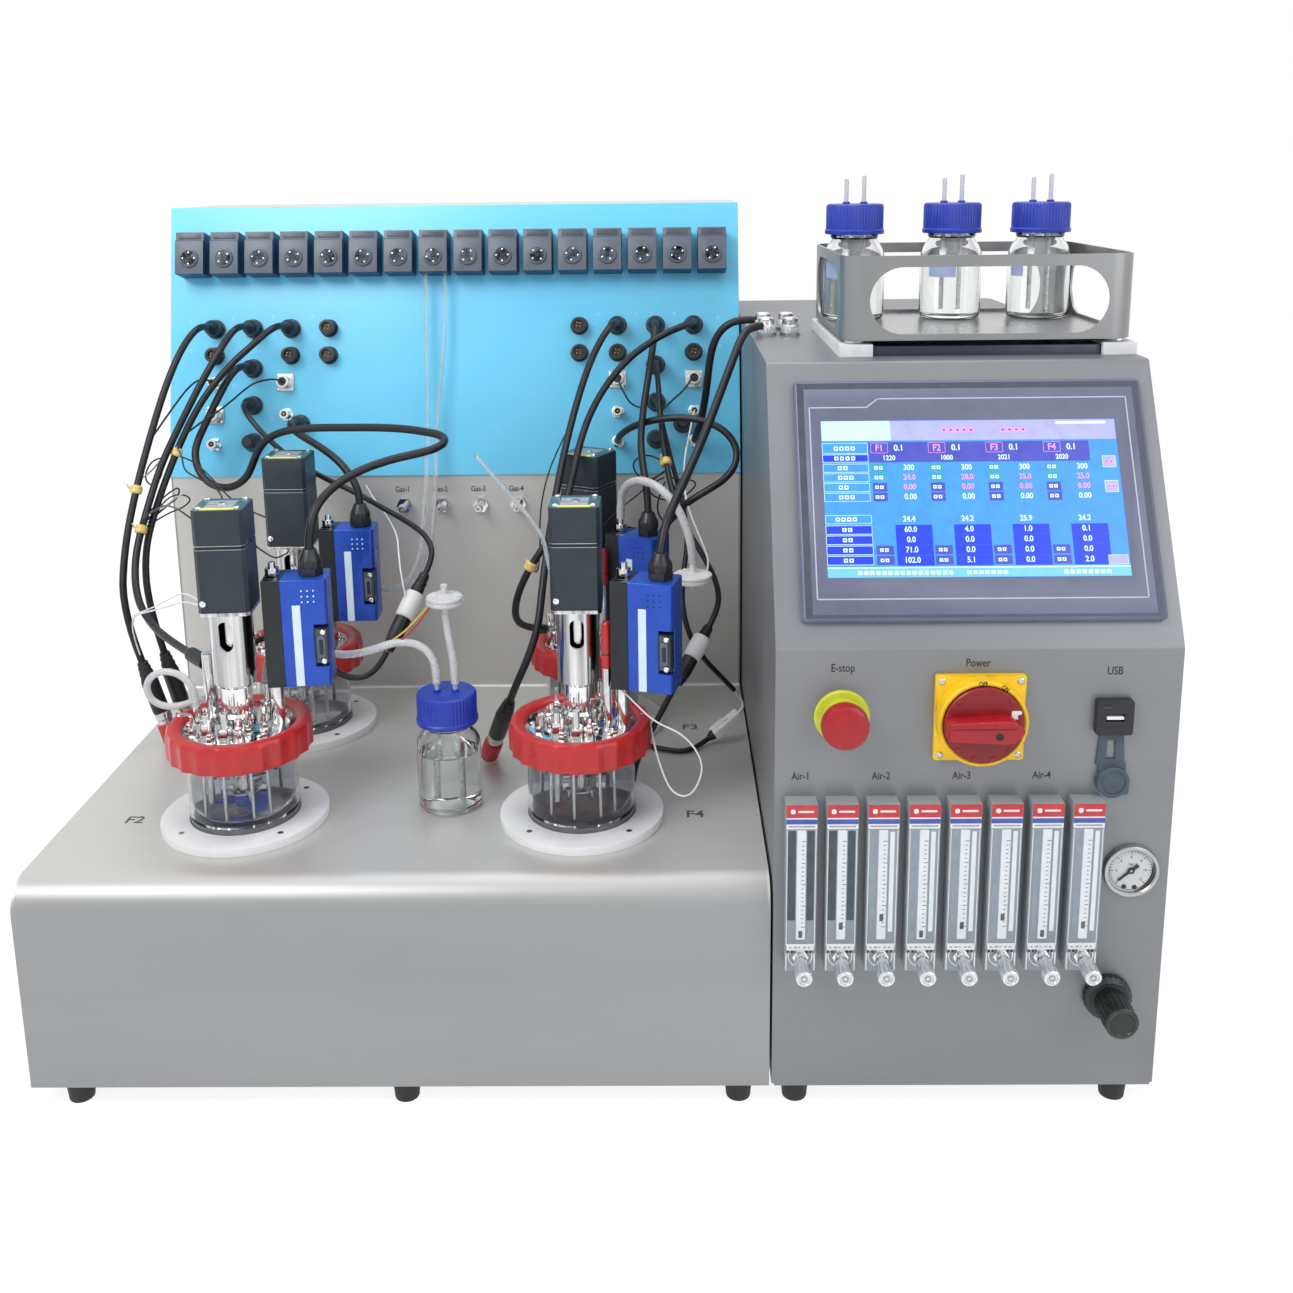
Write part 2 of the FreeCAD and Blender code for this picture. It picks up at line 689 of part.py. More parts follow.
def condenser(x, y, index):
    """Blue cooling block with a notch for its connector, and the finned sink on its inner side."""
    turn = condenser_turns[index]
    reach = condenser_reaches[index]
    condenser_bottom = condenser_bottoms[index]
    near = reach + sink_width
    far = near + condenser_width
    top = condenser_bottom + condenser_height
    half = condenser_depth / 2
    outline = [(near, -half), (far, -half, 4), (far, half, 4), (near, half)]
    block = prism(outline, condenser_height, condenser_bottom)
    notch = box(far - 12, far + 1, -half - 1, -half + 9, condenser_bottom + 17, condenser_bottom + 54)
    block = block.cut(notch)
    sink = box(near - 5, near, -half, half, condenser_bottom, top)
    fins = [sink]
    for step in range(6):
        y0 = -half + step * (condenser_depth - 2.4) / 5
        fins.append(box(reach, near - 4, y0, y0 + 2.4, condenser_bottom, top))
    clip = box(far - 12, far - 1, -half + 0.5, -half + 9, condenser_bottom + 20, condenser_bottom + 51)
    gland_x = near + condenser_width * 0.62
    gland = fuse([prism(hexagon(gland_radius + 1.5), 7.0, top),
                  turned([(0, top + 7), (gland_radius, top + 7), (gland_radius, top + 14),
                          (gland_radius - 4, top + gland_height), (0, top + gland_height)])])
    gland.translate(V(gland_x, 0, 0))
    placed = []
    for piece in (block, fuse(fins), clip, gland):
        piece.rotate(V(), UP, turn)
        piece.translate(V(x, y, 0))
        placed.append(piece)
    return placed


def make_vessels():
    seats = []
    heaters = []
    glasses = []
    rings = []
    plates = []
    fittings = []
    housings = []
    motors = []
    for index, (x, y) in enumerate(vessels):
        seats.append(turned([(glass_radius + glass_clearance, deck_height), (flange_radius, deck_height),
                             (flange_radius, deck_height + flange_thickness),
                             (glass_radius + glass_clearance, deck_height + flange_thickness)], x, y))
        heaters.append(rod(x, y, deck_height, deck_height + heater_thickness, glass_radius - 1))
        glass = turned(glass_profile(), x, y)
        glasses.append(glass)
        rings.append(clamp_ring(x, y))
        plates.append(head_plate(x, y))
        fittings.extend(head_fittings(x, y, index))
        housings.append(coupling_housing(x, y, motor_turns[index]))
        motors.append(stirrer_motor(x, y, motor_turns[index]))
        save("agitator_%d" % (index + 1), [agitator(x, y)])
    save("vessel_flanges", seats)
    save("heater_discs", heaters)
    save("vessel_glasses", glasses)
    save("clamp_rings", rings)
    save("head_plates", plates)
    save("head_fittings", fittings)
    save("coupling_housings", housings)
    save("stirrer_motors", motors)
    blocks = [condenser(x, y, index) for index, (x, y) in enumerate(vessels)]
    save("condenser_housings", [block[0] for block in blocks])
    save("condenser_sinks", [block[1] for block in blocks])
    return [piece for block in blocks for piece in block[2:]]


# ---- pump panel ----
def make_pumps():
    heads = []
    first = vessel_middle - (pump_count - 1) / 2 * pump_pitch
    for index in range(pump_count):
        x = first + index * pump_pitch
        half = pump_width / 2
        body = prism(rectangle(-half, half, -pump_height / 2, pump_height / 2), pump_depth)
        ledge = box(-half - 1, half + 1, pump_height / 2 - 9.0, pump_height, pump_depth - 3.0, pump_depth + 1)
        rotor = Part.makeCylinder(9.5, 2.0, V(0, -6.0, pump_depth))
        head = fuse([body.cut(ledge), rotor])
        head.translate(V(x, pump_row, panel_sheet))
        heads.append(on_panel(head))
    save("pump_heads", heads)


def columns():
    left = [socket_left + socket_pitch * step for step in range(4)]
    return left + [base_width - x for x in left[::-1]]


def make_sockets(loose_fittings):
    """Round black sockets on the panel; the plugged ones carry a longer plug with a flat end."""
    across_panel = columns()
    row_a, row_b, row_c, row_d, row_e = socket_rows
    plugged = [(across_panel[0], row_a), (across_panel[1], row_a), (across_panel[2], row_a),
               (across_panel[1], row_c), (across_panel[1], row_d), (across_panel[1], row_e), (138.0, 55.0),
               (across_panel[5], row_a), (across_panel[6], row_a), (across_panel[7], row_a),
               (across_panel[6], row_c), (across_panel[6], row_d), (across_panel[6], row_e), (540.0, 52.0)]
    empty = [(across_panel[column], row_a) for column in (3, 4)]
    empty += [(across_panel[column], row_b) for column in (0, 2, 3, 4, 5, 7)]
    sockets = list(loose_fittings)
    for x, v in plugged:
        sleeve = turned([(0, 3), (socket_radius, 3), (socket_radius, socket_length - 6),
                         (socket_radius - 1.5, socket_length), (0, socket_length)])
        plug = fuse([prism(hexagon(socket_nut), 3.0), sleeve])
        plug.translate(V(x, v, panel_sheet))
        sockets.append(on_panel(plug))
    for x, v in empty:
        socket = fuse([prism(hexagon(socket_nut), 3.0), Part.makeCylinder(socket_radius, 10.0, V(0, 0, 3.0))])
        socket = socket.cut(Part.makeCylinder(socket_radius - 2.5, 4.0, V(0, 0, 10.0)))
        socket.translate(V(x, v, panel_sheet))
        sockets.append(on_panel(socket))
    save("cable_sockets", sockets)
    coax = []
    high, middle, low = coax_rows
    places = [(across_panel[0], high, 5.0), (across_panel[0], middle, 6.5), (across_panel[0], low, 5.0),
              (across_panel[2] - coax_shifts[0], high, 6.5),
              (across_panel[2] - coax_shifts[1], middle, 5.0)]
    for x in (across_panel[5], across_panel[7]):
        places.extend([(x, high, 6.5), (x, middle, 5.0), (x, low, 5.0)])
    for x, v, radius in places:
        connector = Part.makeCylinder(radius, 13.0)
        connector.translate(V(x, v, panel_sheet))
        coax.append(on_panel(connector))
    for x in (roof_socket_x, roof_socket_x + roof_socket_pitch_x):
        for y in (roof_socket_y, roof_socket_y + roof_socket_pitch_y):
            roof_plug = fuse([prism(hexagon(9.5), 3.0, roof_height),
                              rod(0, 0, roof_height + 3, roof_height + roof_socket_height, 7.5)])
            roof_plug.translate(V(cabinet_left + x, y, 0))
            coax.append(roof_plug)
    save("coax_sockets", coax)


def barb(nose):
    """Hose barb drawn as (right, up, outwards): hexagon, two ridges and a plain nose."""
    ridge = barb_length - 6.0
    body = turned([(0, 5), (nose, 5), (nose, ridge), (nose + 1, ridge), (nose - 0.5, barb_length),
                   (0, barb_length)])
    bore = Part.makeCylinder(barb_bore, 14.0, V(0, 0, barb_length - 12.0))
    return fuse([prism(hexagon(8.5), 5.0), body]).cut(bore)


def make_barbs():
    places = [barb_first + barb_pitch * step for step in range(4)]
    barbs = [stand(barb(barb_radius), x, deck_depth, barb_height) for x in places]
    inlet = barb(barb_radius)
    inlet.Placement = FreeCAD.Placement(V(cabinet_left + inlet_x, housing_depth, inlet_height),
                                        FreeCAD.Rotation(V(1, 0, 0), -90)).multiply(inlet.Placement)
    barbs.append(inlet)
    save("gas_barbs", barbs)


# ---- rack and bottles ----
def make_rack():
    bottom = roof_height + rail_height + rack_foot
    middle = cabinet_left + rack_x
    half = rack_width / 2
    outer = rectangle(middle - half, middle + half, rack_front, rack_front + rack_depth, rack_corner)
    inner = rectangle(middle - half + sheet, middle + half - sheet, rack_front + sheet,
                      rack_front + rack_depth - sheet, rack_corner - sheet)
    tray = prism(outer, rack_height, bottom).cut(prism(inner, rack_height, bottom + sheet))
    window_middle = bottom + rack_height / 2 - 2.0
    ends = stadium(front_window, window_height, rack_depth + 40, 0, 0, -rack_depth - 20)
    tray = tray.cut(stand(ends, middle, rack_front, window_middle))
    sides = stadium(side_window, window_height, rack_width + 40, 0, 0, -rack_width / 2 - 20)
    sides = stand(sides, 0, 0, 0)
    sides.rotate(V(), UP, 90)
    sides.translate(V(middle, rack_front + rack_depth / 2, window_middle))
    tray = tray.cut(sides)
    feet = []
    for side in (-1, 1):
        for y in (rack_front + 16, rack_front + rack_depth - 16):
            feet.append(rod(middle + side * (half - 14), y, bottom - rack_foot, bottom, 8.0))
    save("bottle_rack", [fuse([tray] + feet)])
    rails = []
    for side in (-1, 1):
        x = middle + side * (half + 2 - rail_width / 2)
        rails.append(box(x - rail_width / 2, x + rail_width / 2, rack_front, rack_front + rack_depth,
                         roof_height, roof_height + rail_height))
    inside = half + 2 - rail_width
    rails.append(box(middle - inside, middle + inside, rack_front + 4, rack_front + rack_depth - 4,
                     roof_height, roof_height + rail_height - 2))
    save("rack_rails", rails)


def bottle_profile():
    inside = bottle_radius - bottle_wall
    shoulder = bottle_shoulder
    outer = [(0, 0), (bottle_radius - 2, 0), (bottle_radius, 3), (bottle_radius, shoulder - 16),
             (bottle_radius - 4, shoulder - 7), (bottle_neck, shoulder), (bottle_neck, bottle_height)]
    inner = [(bottle_neck - 3.5, bottle_height), (bottle_neck - 3.5, shoulder), (inside - 4, shoulder - 8),
             (inside, shoulder - 17), (inside, 4), (0, 4)]
    return outer + inner


def make_bottles():
    glasses = []
    caps = []
    tubes = []
    floor = roof_height + rail_height + rack_foot + sheet
    places = [(cabinet_left + rack_x + x, rack_front + y, floor) for x, y in bottle_places]
    places.append((deck_bottle[0], deck_bottle[1], deck_height))
    for index, (x, y, z) in enumerate(places):
        glass = turned(bottle_profile())
        cap_bottom = bottle_height + 5.0 - cap_height
        skirt = bottle_neck + 0.3
        top = bottle_height + 5.0
        cap = turned([(skirt, cap_bottom), (cap_radius, cap_bottom), (cap_radius, top - 1.5),
                      (cap_radius - 1.5, top), (0, top), (0, bottle_height), (skirt, bottle_height)])
        holes = [rod(side * 8.0, 0, bottle_height - 1, bottle_height + 6, 2.0) for side in (-1, 1)]
        cap = cap.cut(Part.makeCompound(holes))
        for piece in (glass, cap):
            piece.translate(V(x, y, z))
        glasses.append(glass)
        caps.append(cap)
        if index < len(bottle_places):
            for side, rise in ((-1, 22.0), (1, 25.0)):
                tubes.append(rod(x + side * 8.0, y, z + 10.0, z + bottle_height + 5 + rise, 2.0))
        else:
            for side in (-1, 1):
                tubes.append(rod(x + side * 8.0, y, z + 10.0, z + bottle_height + 12, 2.0))
    save("media_bottles", glasses)
    save("bottle_caps", caps)
    save("bottle_tubes", tubes)


# ---- plugs, filters and cords ----
def rod_along(point, direction, length, start_radius, end_radius):
    if abs(start_radius - end_radius) < 1e-6:
        return Part.makeCylinder(start_radius, length, point, direction)
    return Part.makeCone(start_radius, end_radius, length, point, direction)


def plug_on(points, sections):
    """A plug in line with a cord's last run, from (length, start radius, end radius) sections."""
    place = V(*points[-1])
    direction = place - V(*points[-2])
    direction.normalize()
    pieces = []
    for length, start_radius, end_radius in sections:
        pieces.append(rod_along(place, direction, length, start_radius, end_radius))
        place = place + direction * length
    return fuse(pieces), place


probe_plug = ((20.0, 5.0, 8.0), (46.0, 8.0, 8.0), (22.0, 9.0, 9.0))
short_plug = ((6.0, 4.0, 6.0), (28.0, 6.5, 6.5))
small_plug = ((24.0, 5.0, 5.0),)
white_joint = ((20.0, 4.5, 6.5), (26.0, 9.0, 9.0), (34.0, 7.5, 7.5))
white_joint_short = ((12.0, 4.0, 6.0), (22.0, 8.5, 8.5), (28.0, 7.0, 7.0))
low_joint = ((6.0, 3.5, 5.5), (16.0, 7.0, 7.0), (16.0, 6.0, 6.0))

condenser_to_panel = [
    (88.0, 421.8, 550.1), (87.5, 402.0, 554.5), (82.0, 384.0, 548.0), (72.0, 374.0, 528.5),
    (61.0, 366.0, 505.0), (49.4, 358.0, 480.2), (50.6, 350.5, 465.6), (57.8, 342.5, 452.9),
    (69.7, 336.0, 444.4), (84.1, 331.0, 441.7), (98.2, 328.0, 445.4), (109.5, 327.2, 454.7),
    (115.8, 327.0, 467.9), (123.0, 326.6, 483.5), (135.0, 325.0, 495.0), (154.0, 321.0, 502.0),
    (183.0, 313.0, 505.5), (217.0, 299.0, 508.0), (252.0, 282.0, 511.0), (280.0, 268.0, 512.0),
    (301.0, 257.0, 511.0), (314.0, 249.0, 510.0), (321.0, 237.0, 508.0), (321.0, 223.0, 506.0),
    (314.0, 211.0, 504.0), (302.0, 204.0, 502.0), (282.0, 194.0, 499.5), (260.0, 178.0, 495.0),
    (241.0, 158.0, 487.0), (228.0, 137.0, 475.0), (222.5, 125.0, 457.0), (221.7, 123.1, 438.0)]
panel_to_condenser = [
    (138.0, 407.5, 492.8), (138.2, 389.0, 497.4), (143.0, 371.0, 495.0), (157.0, 357.0, 489.0),
    (177.0, 345.0, 481.0), (198.0, 334.0, 469.0), (213.0, 325.0, 453.0), (220.0, 319.8, 440.0),
    (220.6, 318.3, 428.0)]
roof_to_condenser = [
    (610.7, 286.7, 603.0), (600.5, 275.0, 603.5), (591.0, 259.0, 596.0), (583.0, 241.0, 580.0),
    (570.0, 213.0, 553.0), (557.0, 184.0, 526.0), (543.0, 154.0, 501.0), (529.0, 124.0, 478.0),
    (518.5, 102.0, 459.0), (515.8, 96.0, 440.0)]
roof_to_panel = [
    (608.5, 336.0, 603.0), (593.7, 336.2, 603.6), (579.5, 337.5, 597.5), (569.5, 341.0, 583.5),
    (565.0, 347.0, 562.0), (563.0, 357.0, 536.0), (559.5, 371.0, 508.0), (555.5, 386.0, 487.0),
    (552.7, 398.0, 477.5), (552.0, 409.2, 470.7)]
left_outer = [
    (48.0, 431.9, 590.8), (47.5, 411.9, 594.5), (43.0, 391.5, 589.0), (34.0, 375.0, 570.0),
    (23.0, 359.0, 538.0), (12.0, 341.0, 495.0), (2.0, 320.0, 448.0), (-5.0, 293.0, 392.0),
    (-3.0, 269.0, 336.0), (12.4, 267.7, 285.0)]
left_middle = [
    (88.0, 431.9, 590.8), (87.5, 411.9, 594.5), (83.0, 391.5, 589.5), (73.0, 376.0, 570.0),
    (58.0, 365.0, 543.0), (38.0, 350.0, 502.0), (21.0, 335.0, 464.0), (12.0, 313.0, 424.0),
    (7.0, 287.0, 386.0), (16.0, 259.0, 355.0), (38.0, 229.0, 339.0), (68.0, 194.0, 334.0),
    (98.1, 162.4, 333.0)]
left_inner = [
    (128.0, 431.9, 590.8), (127.5, 411.9, 594.5), (121.0, 392.5, 591.0), (106.0, 381.0, 577.0),
    (84.0, 374.0, 558.0), (60.0, 362.0, 528.0), (42.0, 351.0, 494.0), (29.0, 341.0, 462.0),
    (18.0, 326.0, 428.0), (9.0, 306.0, 385.0), (16.0, 286.0, 336.0), (26.0, 290.0, 286.3)]
right_probe = [
    (472.0, 431.9, 590.8), (471.5, 411.9, 594.5), (464.0, 393.0, 589.0), (453.0, 378.0, 572.0),
    (443.0, 360.0, 549.0), (434.0, 336.0, 521.0), (427.0, 308.0, 494.0), (422.0, 280.0, 470.0),
    (418.0, 250.0, 446.0), (414.0, 219.0, 417.0), (410.0, 194.0, 384.0), (407.0, 174.0, 350.0),
    (397.0, 166.0, 322.0), (386.0, 173.0, 297.5), (377.8, 186.2, 275.5)]
right_arc = [
    (552.0, 431.9, 590.8), (551.0, 411.9, 594.5), (542.0, 392.0, 592.0), (526.0, 376.0, 588.0),
    (507.0, 365.0, 579.0), (485.0, 355.0, 564.0), (464.0, 341.0, 541.0), (448.0, 321.0, 515.0),
    (439.0, 297.0, 490.0), (434.0, 270.0, 466.0), (428.0, 251.0, 441.0), (415.0, 240.0, 415.0),
    (397.0, 235.0, 391.0), (383.0, 237.0, 363.0), (377.0, 249.0, 337.0), (381.0, 266.0, 319.0),
    (392.0, 284.0, 311.0)]
right_straight = [
    (512.0, 431.9, 590.8), (512.0, 412.5, 593.5), (511.5, 395.0, 585.0), (509.0, 382.0, 568.0),
    (505.0, 369.0, 545.0), (500.0, 352.0, 517.0), (497.0, 332.0, 491.0), (498.0, 312.0, 474.0),
    (501.0, 295.0, 459.0), (503.5, 284.0, 444.0), (504.2, 279.7, 427.0)]
right_loop = [
    (472.0, 409.2, 470.7), (472.5, 391.0, 476.0), (477.0, 375.0, 485.0), (488.0, 360.0, 495.0),
    (506.0, 348.0, 503.0), (530.0, 339.0, 508.0), (555.0, 332.0, 507.0), (577.0, 325.0, 499.0),
    (590.0, 318.0, 484.0), (590.0, 311.0, 467.0), (579.0, 305.0, 453.0), (561.0, 300.0, 443.0),
    (543.0, 301.0, 432.0), (527.0, 308.0, 415.0), (513.0, 320.0, 391.0), (501.0, 332.0, 374.0),
    (487.0, 342.0, 364.0), (473.0, 346.5, 357.0), (464.0, 345.2, 344.0), (462.6, 344.7, 327.0),
    (462.5, 344.6, 311.0)]
lead_left = [
    (88.0, 412.3, 512.2), (88.2, 395.5, 516.3), (95.0, 378.0, 511.0), (108.0, 368.0, 498.0),
    (125.0, 363.0, 481.0), (146.0, 360.0, 464.0), (174.0, 357.0, 447.0), (208.0, 350.0, 433.0),
    (240.0, 333.0, 420.0), (270.0, 310.0, 411.0), (292.0, 288.0, 402.0), (300.0, 269.0, 388.0),
    (293.0, 258.0, 374.0)]
lead_left_end = [
    (263.7, 212.0, 315.4), (257.9, 202.8, 303.8), (246.0, 193.0, 296.0), (231.0, 186.0, 299.0),
    (218.0, 180.0, 311.0), (206.0, 174.0, 327.0), (192.0, 168.0, 341.0), (177.0, 162.0, 348.0),
    (162.0, 156.5, 347.0), (152.5, 151.5, 337.0), (148.7, 149.0, 324.0), (148.3, 148.5, 311.0)]
lead_right = [
    (512.0, 421.8, 550.1), (512.0, 404.7, 554.1), (513.5, 386.0, 548.0), (515.0, 375.0, 530.0),
    (516.5, 364.0, 506.0), (519.0, 347.0, 481.0), (523.0, 322.0, 458.0), (529.0, 295.0, 436.0),
    (540.0, 272.0, 413.0), (556.0, 258.0, 390.0), (569.0, 249.0, 365.0), (570.0, 238.0, 345.0),
    (560.0, 227.0, 331.0)]
lead_right_end = [
    (529.6, 193.6, 288.5), (521.5, 184.7, 277.2), (513.0, 177.5, 263.0), (504.0, 172.0, 248.0),
    (496.0, 168.5, 232.0), (490.5, 167.0, 218.0), (489.0, 167.0, 205.7)]
lead_low = [
    (512.0, 412.3, 512.2), (512.2, 395.5, 516.3), (515.0, 377.5, 510.0), (519.0, 366.0, 494.0),
    (524.0, 354.0, 473.0), (531.0, 338.0, 449.0), (539.0, 314.0, 422.0), (542.0, 287.0, 396.0),
    (537.0, 262.0, 373.0), (535.0, 242.0, 348.0), (541.0, 231.0, 322.0), (554.0, 238.0, 297.0),
    (569.5, 254.0, 274.0), (585.5, 270.0, 251.0)]
lead_low_end = [
    (561.0, 262.0, 204.5), (553.0, 253.8, 202.3), (544.0, 244.8, 201.0), (532.5, 240.3, 200.9),
    (521.0, 243.5, 201.0), (504.0, 252.0, 200.8), (493.3, 263.9, 201.0)]
low_joint_behind = (553.3, 259.2, 198.8)
lead_low_wires = [
    (585.5, 270.0, 251.0), (588.3, 272.9, 246.1), (593.5, 275.0, 238.5), (595.6, 275.2, 230.4),
    (590.3, 272.7, 226.2)]
bottle_tube = [
    (320.0, 143.0, 310.0), (320.0, 143.0, 325.0), (314.5, 143.2, 339.5), (302.0, 143.6, 347.5),
    (284.0, 144.5, 347.5), (262.0, 146.0, 339.0), (240.0, 149.0, 334.0), (220.0, 151.5, 337.0),
    (203.0, 152.0, 343.0), (188.5, 150.0, 344.0), (177.0, 147.0, 337.5), (170.9, 145.0, 325.0),
    (170.5, 144.6, 311.5)]
vent_tube = [
    (336.0, 143.0, 310.0), (335.7, 143.0, 331.0), (332.0, 143.0, 353.0), (330.0, 143.0, 374.0)]
pump_tube = [
    (272.5, 451.4, 642.2), (272.5, 442.0, 604.0), (273.0, 430.0, 560.0), (275.0, 416.0, 518.0),
    (276.0, 402.0, 478.0), (275.0, 384.0, 440.0), (275.0, 361.0, 402.0), (273.0, 343.0, 366.0),
    (262.0, 334.0, 344.0), (243.0, 336.0, 333.0), (222.0, 345.0, 334.0), (203.0, 350.0, 341.0),
    (188.5, 350.0, 344.5), (177.0, 347.5, 338.0), (170.7, 344.8, 325.0), (170.5, 344.6, 311.0)]
pump_tube_beside = [
    (292.5, 451.4, 642.2), (292.5, 442.0, 604.0), (291.0, 430.0, 560.0), (286.0, 418.0, 518.0),
    (284.0, 405.0, 478.0), (284.0, 388.0, 440.0), (284.0, 369.0, 402.0), (281.0, 353.0, 364.0),
    (268.0, 347.0, 338.0), (246.0, 352.0, 327.0), (222.0, 361.0, 328.0), (199.0, 366.0, 337.0),
    (179.0, 364.0, 346.0), (163.0, 358.0, 346.0), (153.0, 351.5, 336.0), (149.0, 349.0, 324.0),
    (148.3, 348.5, 311.0)]
exhaust_tube = [
    (477.4, 296.4, 417.0), (477.4, 296.0, 434.0), (481.0, 289.0, 449.0), (489.0, 277.0, 458.0),
    (500.0, 264.0, 462.0), (513.0, 253.0, 459.0), (525.0, 244.5, 450.0), (535.0, 237.5, 436.0),
    (541.5, 232.0, 418.0), (544.6, 228.4, 404.0), (545.0, 228.0, 392.0)]
sample_tube = [
    (116.4, 121.3, 300.0), (116.2, 121.4, 311.5), (111.0, 121.8, 322.5), (101.0, 122.5, 329.5),
    (89.0, 123.5, 330.5), (78.0, 125.0, 325.5), (72.0, 127.0, 315.0), (74.0, 129.0, 303.0),
    (83.5, 131.0, 295.5), (96.0, 132.8, 294.5), (108.5, 134.3, 298.0), (119.8, 135.0, 301.0)]
filter_places = ((330.0, 143.0, 374.0, 16.0), (545.0, 228.0, 366.0, 18.0))


def tube(points, diameter):
    """Straight runs joined by tangent arcs, each as large as its two runs allow."""
    places = [V(*point) for point in points]
    starts = [places[0]]
    edges = []
    radii = []
    for before, here, after in zip(places, places[1:], places[2:]):
        back = before - here
        ahead = after - here
        trim = 0.45 * min(back.Length, ahead.Length)
        back.normalize()
        ahead.normalize()
        half_turn = (math.pi - back.getAngle(ahead)) / 2
        radius = trim / math.tan(half_turn)
        radii.append(radius)
        inward = back + ahead
        inward.normalize()
        middle = here + inward * (radius / math.cos(half_turn) - radius)
        edges.append(Part.LineSegment(starts[-1], here + back * trim).toShape())
        edges.append(Part.Arc(here + back * trim, middle, here + ahead * trim).toShape())
        starts.append(here + ahead * trim)
    edges.append(Part.LineSegment(starts[-1], places[-1]).toShape())
    path = Part.Wire(edges)
    section = Part.Wire(Part.Circle(places[0], places[1] - places[0], diameter / 2).toShape())
    solid = path.makePipeShell([section], True, False)
    expected = math.pi * diameter ** 2 / 4 * path.Length
    print("cord %.1f mm thick, %.0f mm long, smallest radius %.0f mm, volume %.4f of section times length"
          % (diameter, path.Length, min(radii), solid.Volume / expected))
    return solid


def make_cords():
    power = (condenser_to_panel, panel_to_condenser, roof_to_condenser, roof_to_panel)
    save("power_cords", [tube(points, 7.5) for points in power])
    probe = (left_outer, left_middle, left_inner, right_probe, right_arc, right_straight, right_loop)
    save("probe_cables", [tube(points, 7.0) for points in probe])
    leads = [tube(points, 5.5) for points in (lead_left, lead_left_end, lead_right, lead_right_end)]
    leads += [tube(points, 5.0) for points in (lead_low, lead_low_end)]
    save("signal_leads", leads + [tube(lead_low_wires, 3.0)])
    tubes = ((bottle_tube, 7.0), (vent_tube, 7.0), (pump_tube, 4.5), (pump_tube_beside, 4.5),
             (exhaust_tube, 8.0), (sample_tube, 6.0))
    save("silicone_tubes", [tube(points, diameter) for points, diameter in tubes])


def make_connectors():
    connectors = []
    for points, sections in ((left_outer, probe_plug), (left_inner, probe_plug), (right_probe, probe_plug),
                             (left_middle, short_plug), (right_arc, small_plug), (lead_left, white_joint),
                             (lead_right, white_joint_short)):
        plug, end = plug_on(points, sections)
        print("plug ends at %.1f %.1f %.1f" % (end.x, end.y, end.z))
        connectors.append(plug)
    joint, end = plug_on([low_joint_behind, lead_low_end[0]], low_joint)
    print("joint ends at %.1f %.1f %.1f" % (end.x, end.y, end.z))
    connectors.append(joint)
    front = vessels[3]
    right, back, radius, top = probes[3]
    connectors.append(rod(front[0] + right, front[1] + back, top, top + 40.0, 4.5))
    connectors.append(rod(red_plug_back[0], red_plug_back[1], red_plug_back[2], red_plug_back[2] + 35.0, 4.5))
    save("cable_connectors", connectors)


def make_filters():
    filters = []
    for x, y, bottom, radius in filter_places:
        profile = [(0, bottom), (3, bottom), (3, bottom + 6), (radius, bottom + 8), (radius, bottom + 16),
                   (3, bottom + 18), (3, bottom + 26), (0, bottom + 26)]
        filters.append(turned(profile, x, y))
    save("vent_filters", filters)


def make_all():
    os.makedirs("parts", exist_ok=True)
    make_base()
    make_cabinet()
    make_feet()
    make_screen()
    make_stop()
    make_switch()
    make_usb()
    make_gauge()
    make_regulator()
    make_meters()
    loose = make_vessels()
    make_pumps()
    make_sockets(loose)
    make_barbs()
    make_rack()
    make_bottles()
    make_filters()
    make_connectors()
    make_cords()


make_all()
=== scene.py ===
import json
import math

import bmesh
import bpy
import numpy as np
from mathutils import Matrix, Vector

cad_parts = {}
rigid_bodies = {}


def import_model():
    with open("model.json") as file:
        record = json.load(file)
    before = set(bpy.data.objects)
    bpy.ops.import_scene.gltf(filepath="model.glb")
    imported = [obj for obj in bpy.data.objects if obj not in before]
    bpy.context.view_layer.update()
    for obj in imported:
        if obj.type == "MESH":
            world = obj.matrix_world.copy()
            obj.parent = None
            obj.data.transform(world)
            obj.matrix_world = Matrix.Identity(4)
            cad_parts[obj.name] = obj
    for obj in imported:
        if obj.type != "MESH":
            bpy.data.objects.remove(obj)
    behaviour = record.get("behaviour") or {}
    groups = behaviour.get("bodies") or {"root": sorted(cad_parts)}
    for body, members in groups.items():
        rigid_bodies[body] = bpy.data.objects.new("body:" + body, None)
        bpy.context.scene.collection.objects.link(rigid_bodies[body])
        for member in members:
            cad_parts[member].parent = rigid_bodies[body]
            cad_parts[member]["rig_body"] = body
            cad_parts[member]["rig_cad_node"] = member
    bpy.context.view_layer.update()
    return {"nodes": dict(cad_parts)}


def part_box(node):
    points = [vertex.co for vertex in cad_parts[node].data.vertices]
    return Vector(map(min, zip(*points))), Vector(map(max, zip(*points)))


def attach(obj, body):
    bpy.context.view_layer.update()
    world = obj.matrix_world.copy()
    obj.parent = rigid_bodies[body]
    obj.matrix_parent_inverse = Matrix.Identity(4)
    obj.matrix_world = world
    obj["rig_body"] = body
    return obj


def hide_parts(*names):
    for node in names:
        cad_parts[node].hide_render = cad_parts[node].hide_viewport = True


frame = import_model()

# bench measures: millimetres from the base's front left corner at floor level, right, back and up
benchCorner = np.array(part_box("base_sides")[0]) * 1000
benchCorner[2] = 0


def toRow(points):  # bench millimetres to metres in the frame
    return (np.asarray(points, float) + benchCorner) / 1000


def lowOf(node):
    return np.array(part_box(node)[0]) * 1000 - benchCorner


def highOf(node):
    return np.array(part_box(node)[1]) * 1000 - benchCorner


def middleOf(node):
    return (lowOf(node) + highOf(node)) / 2


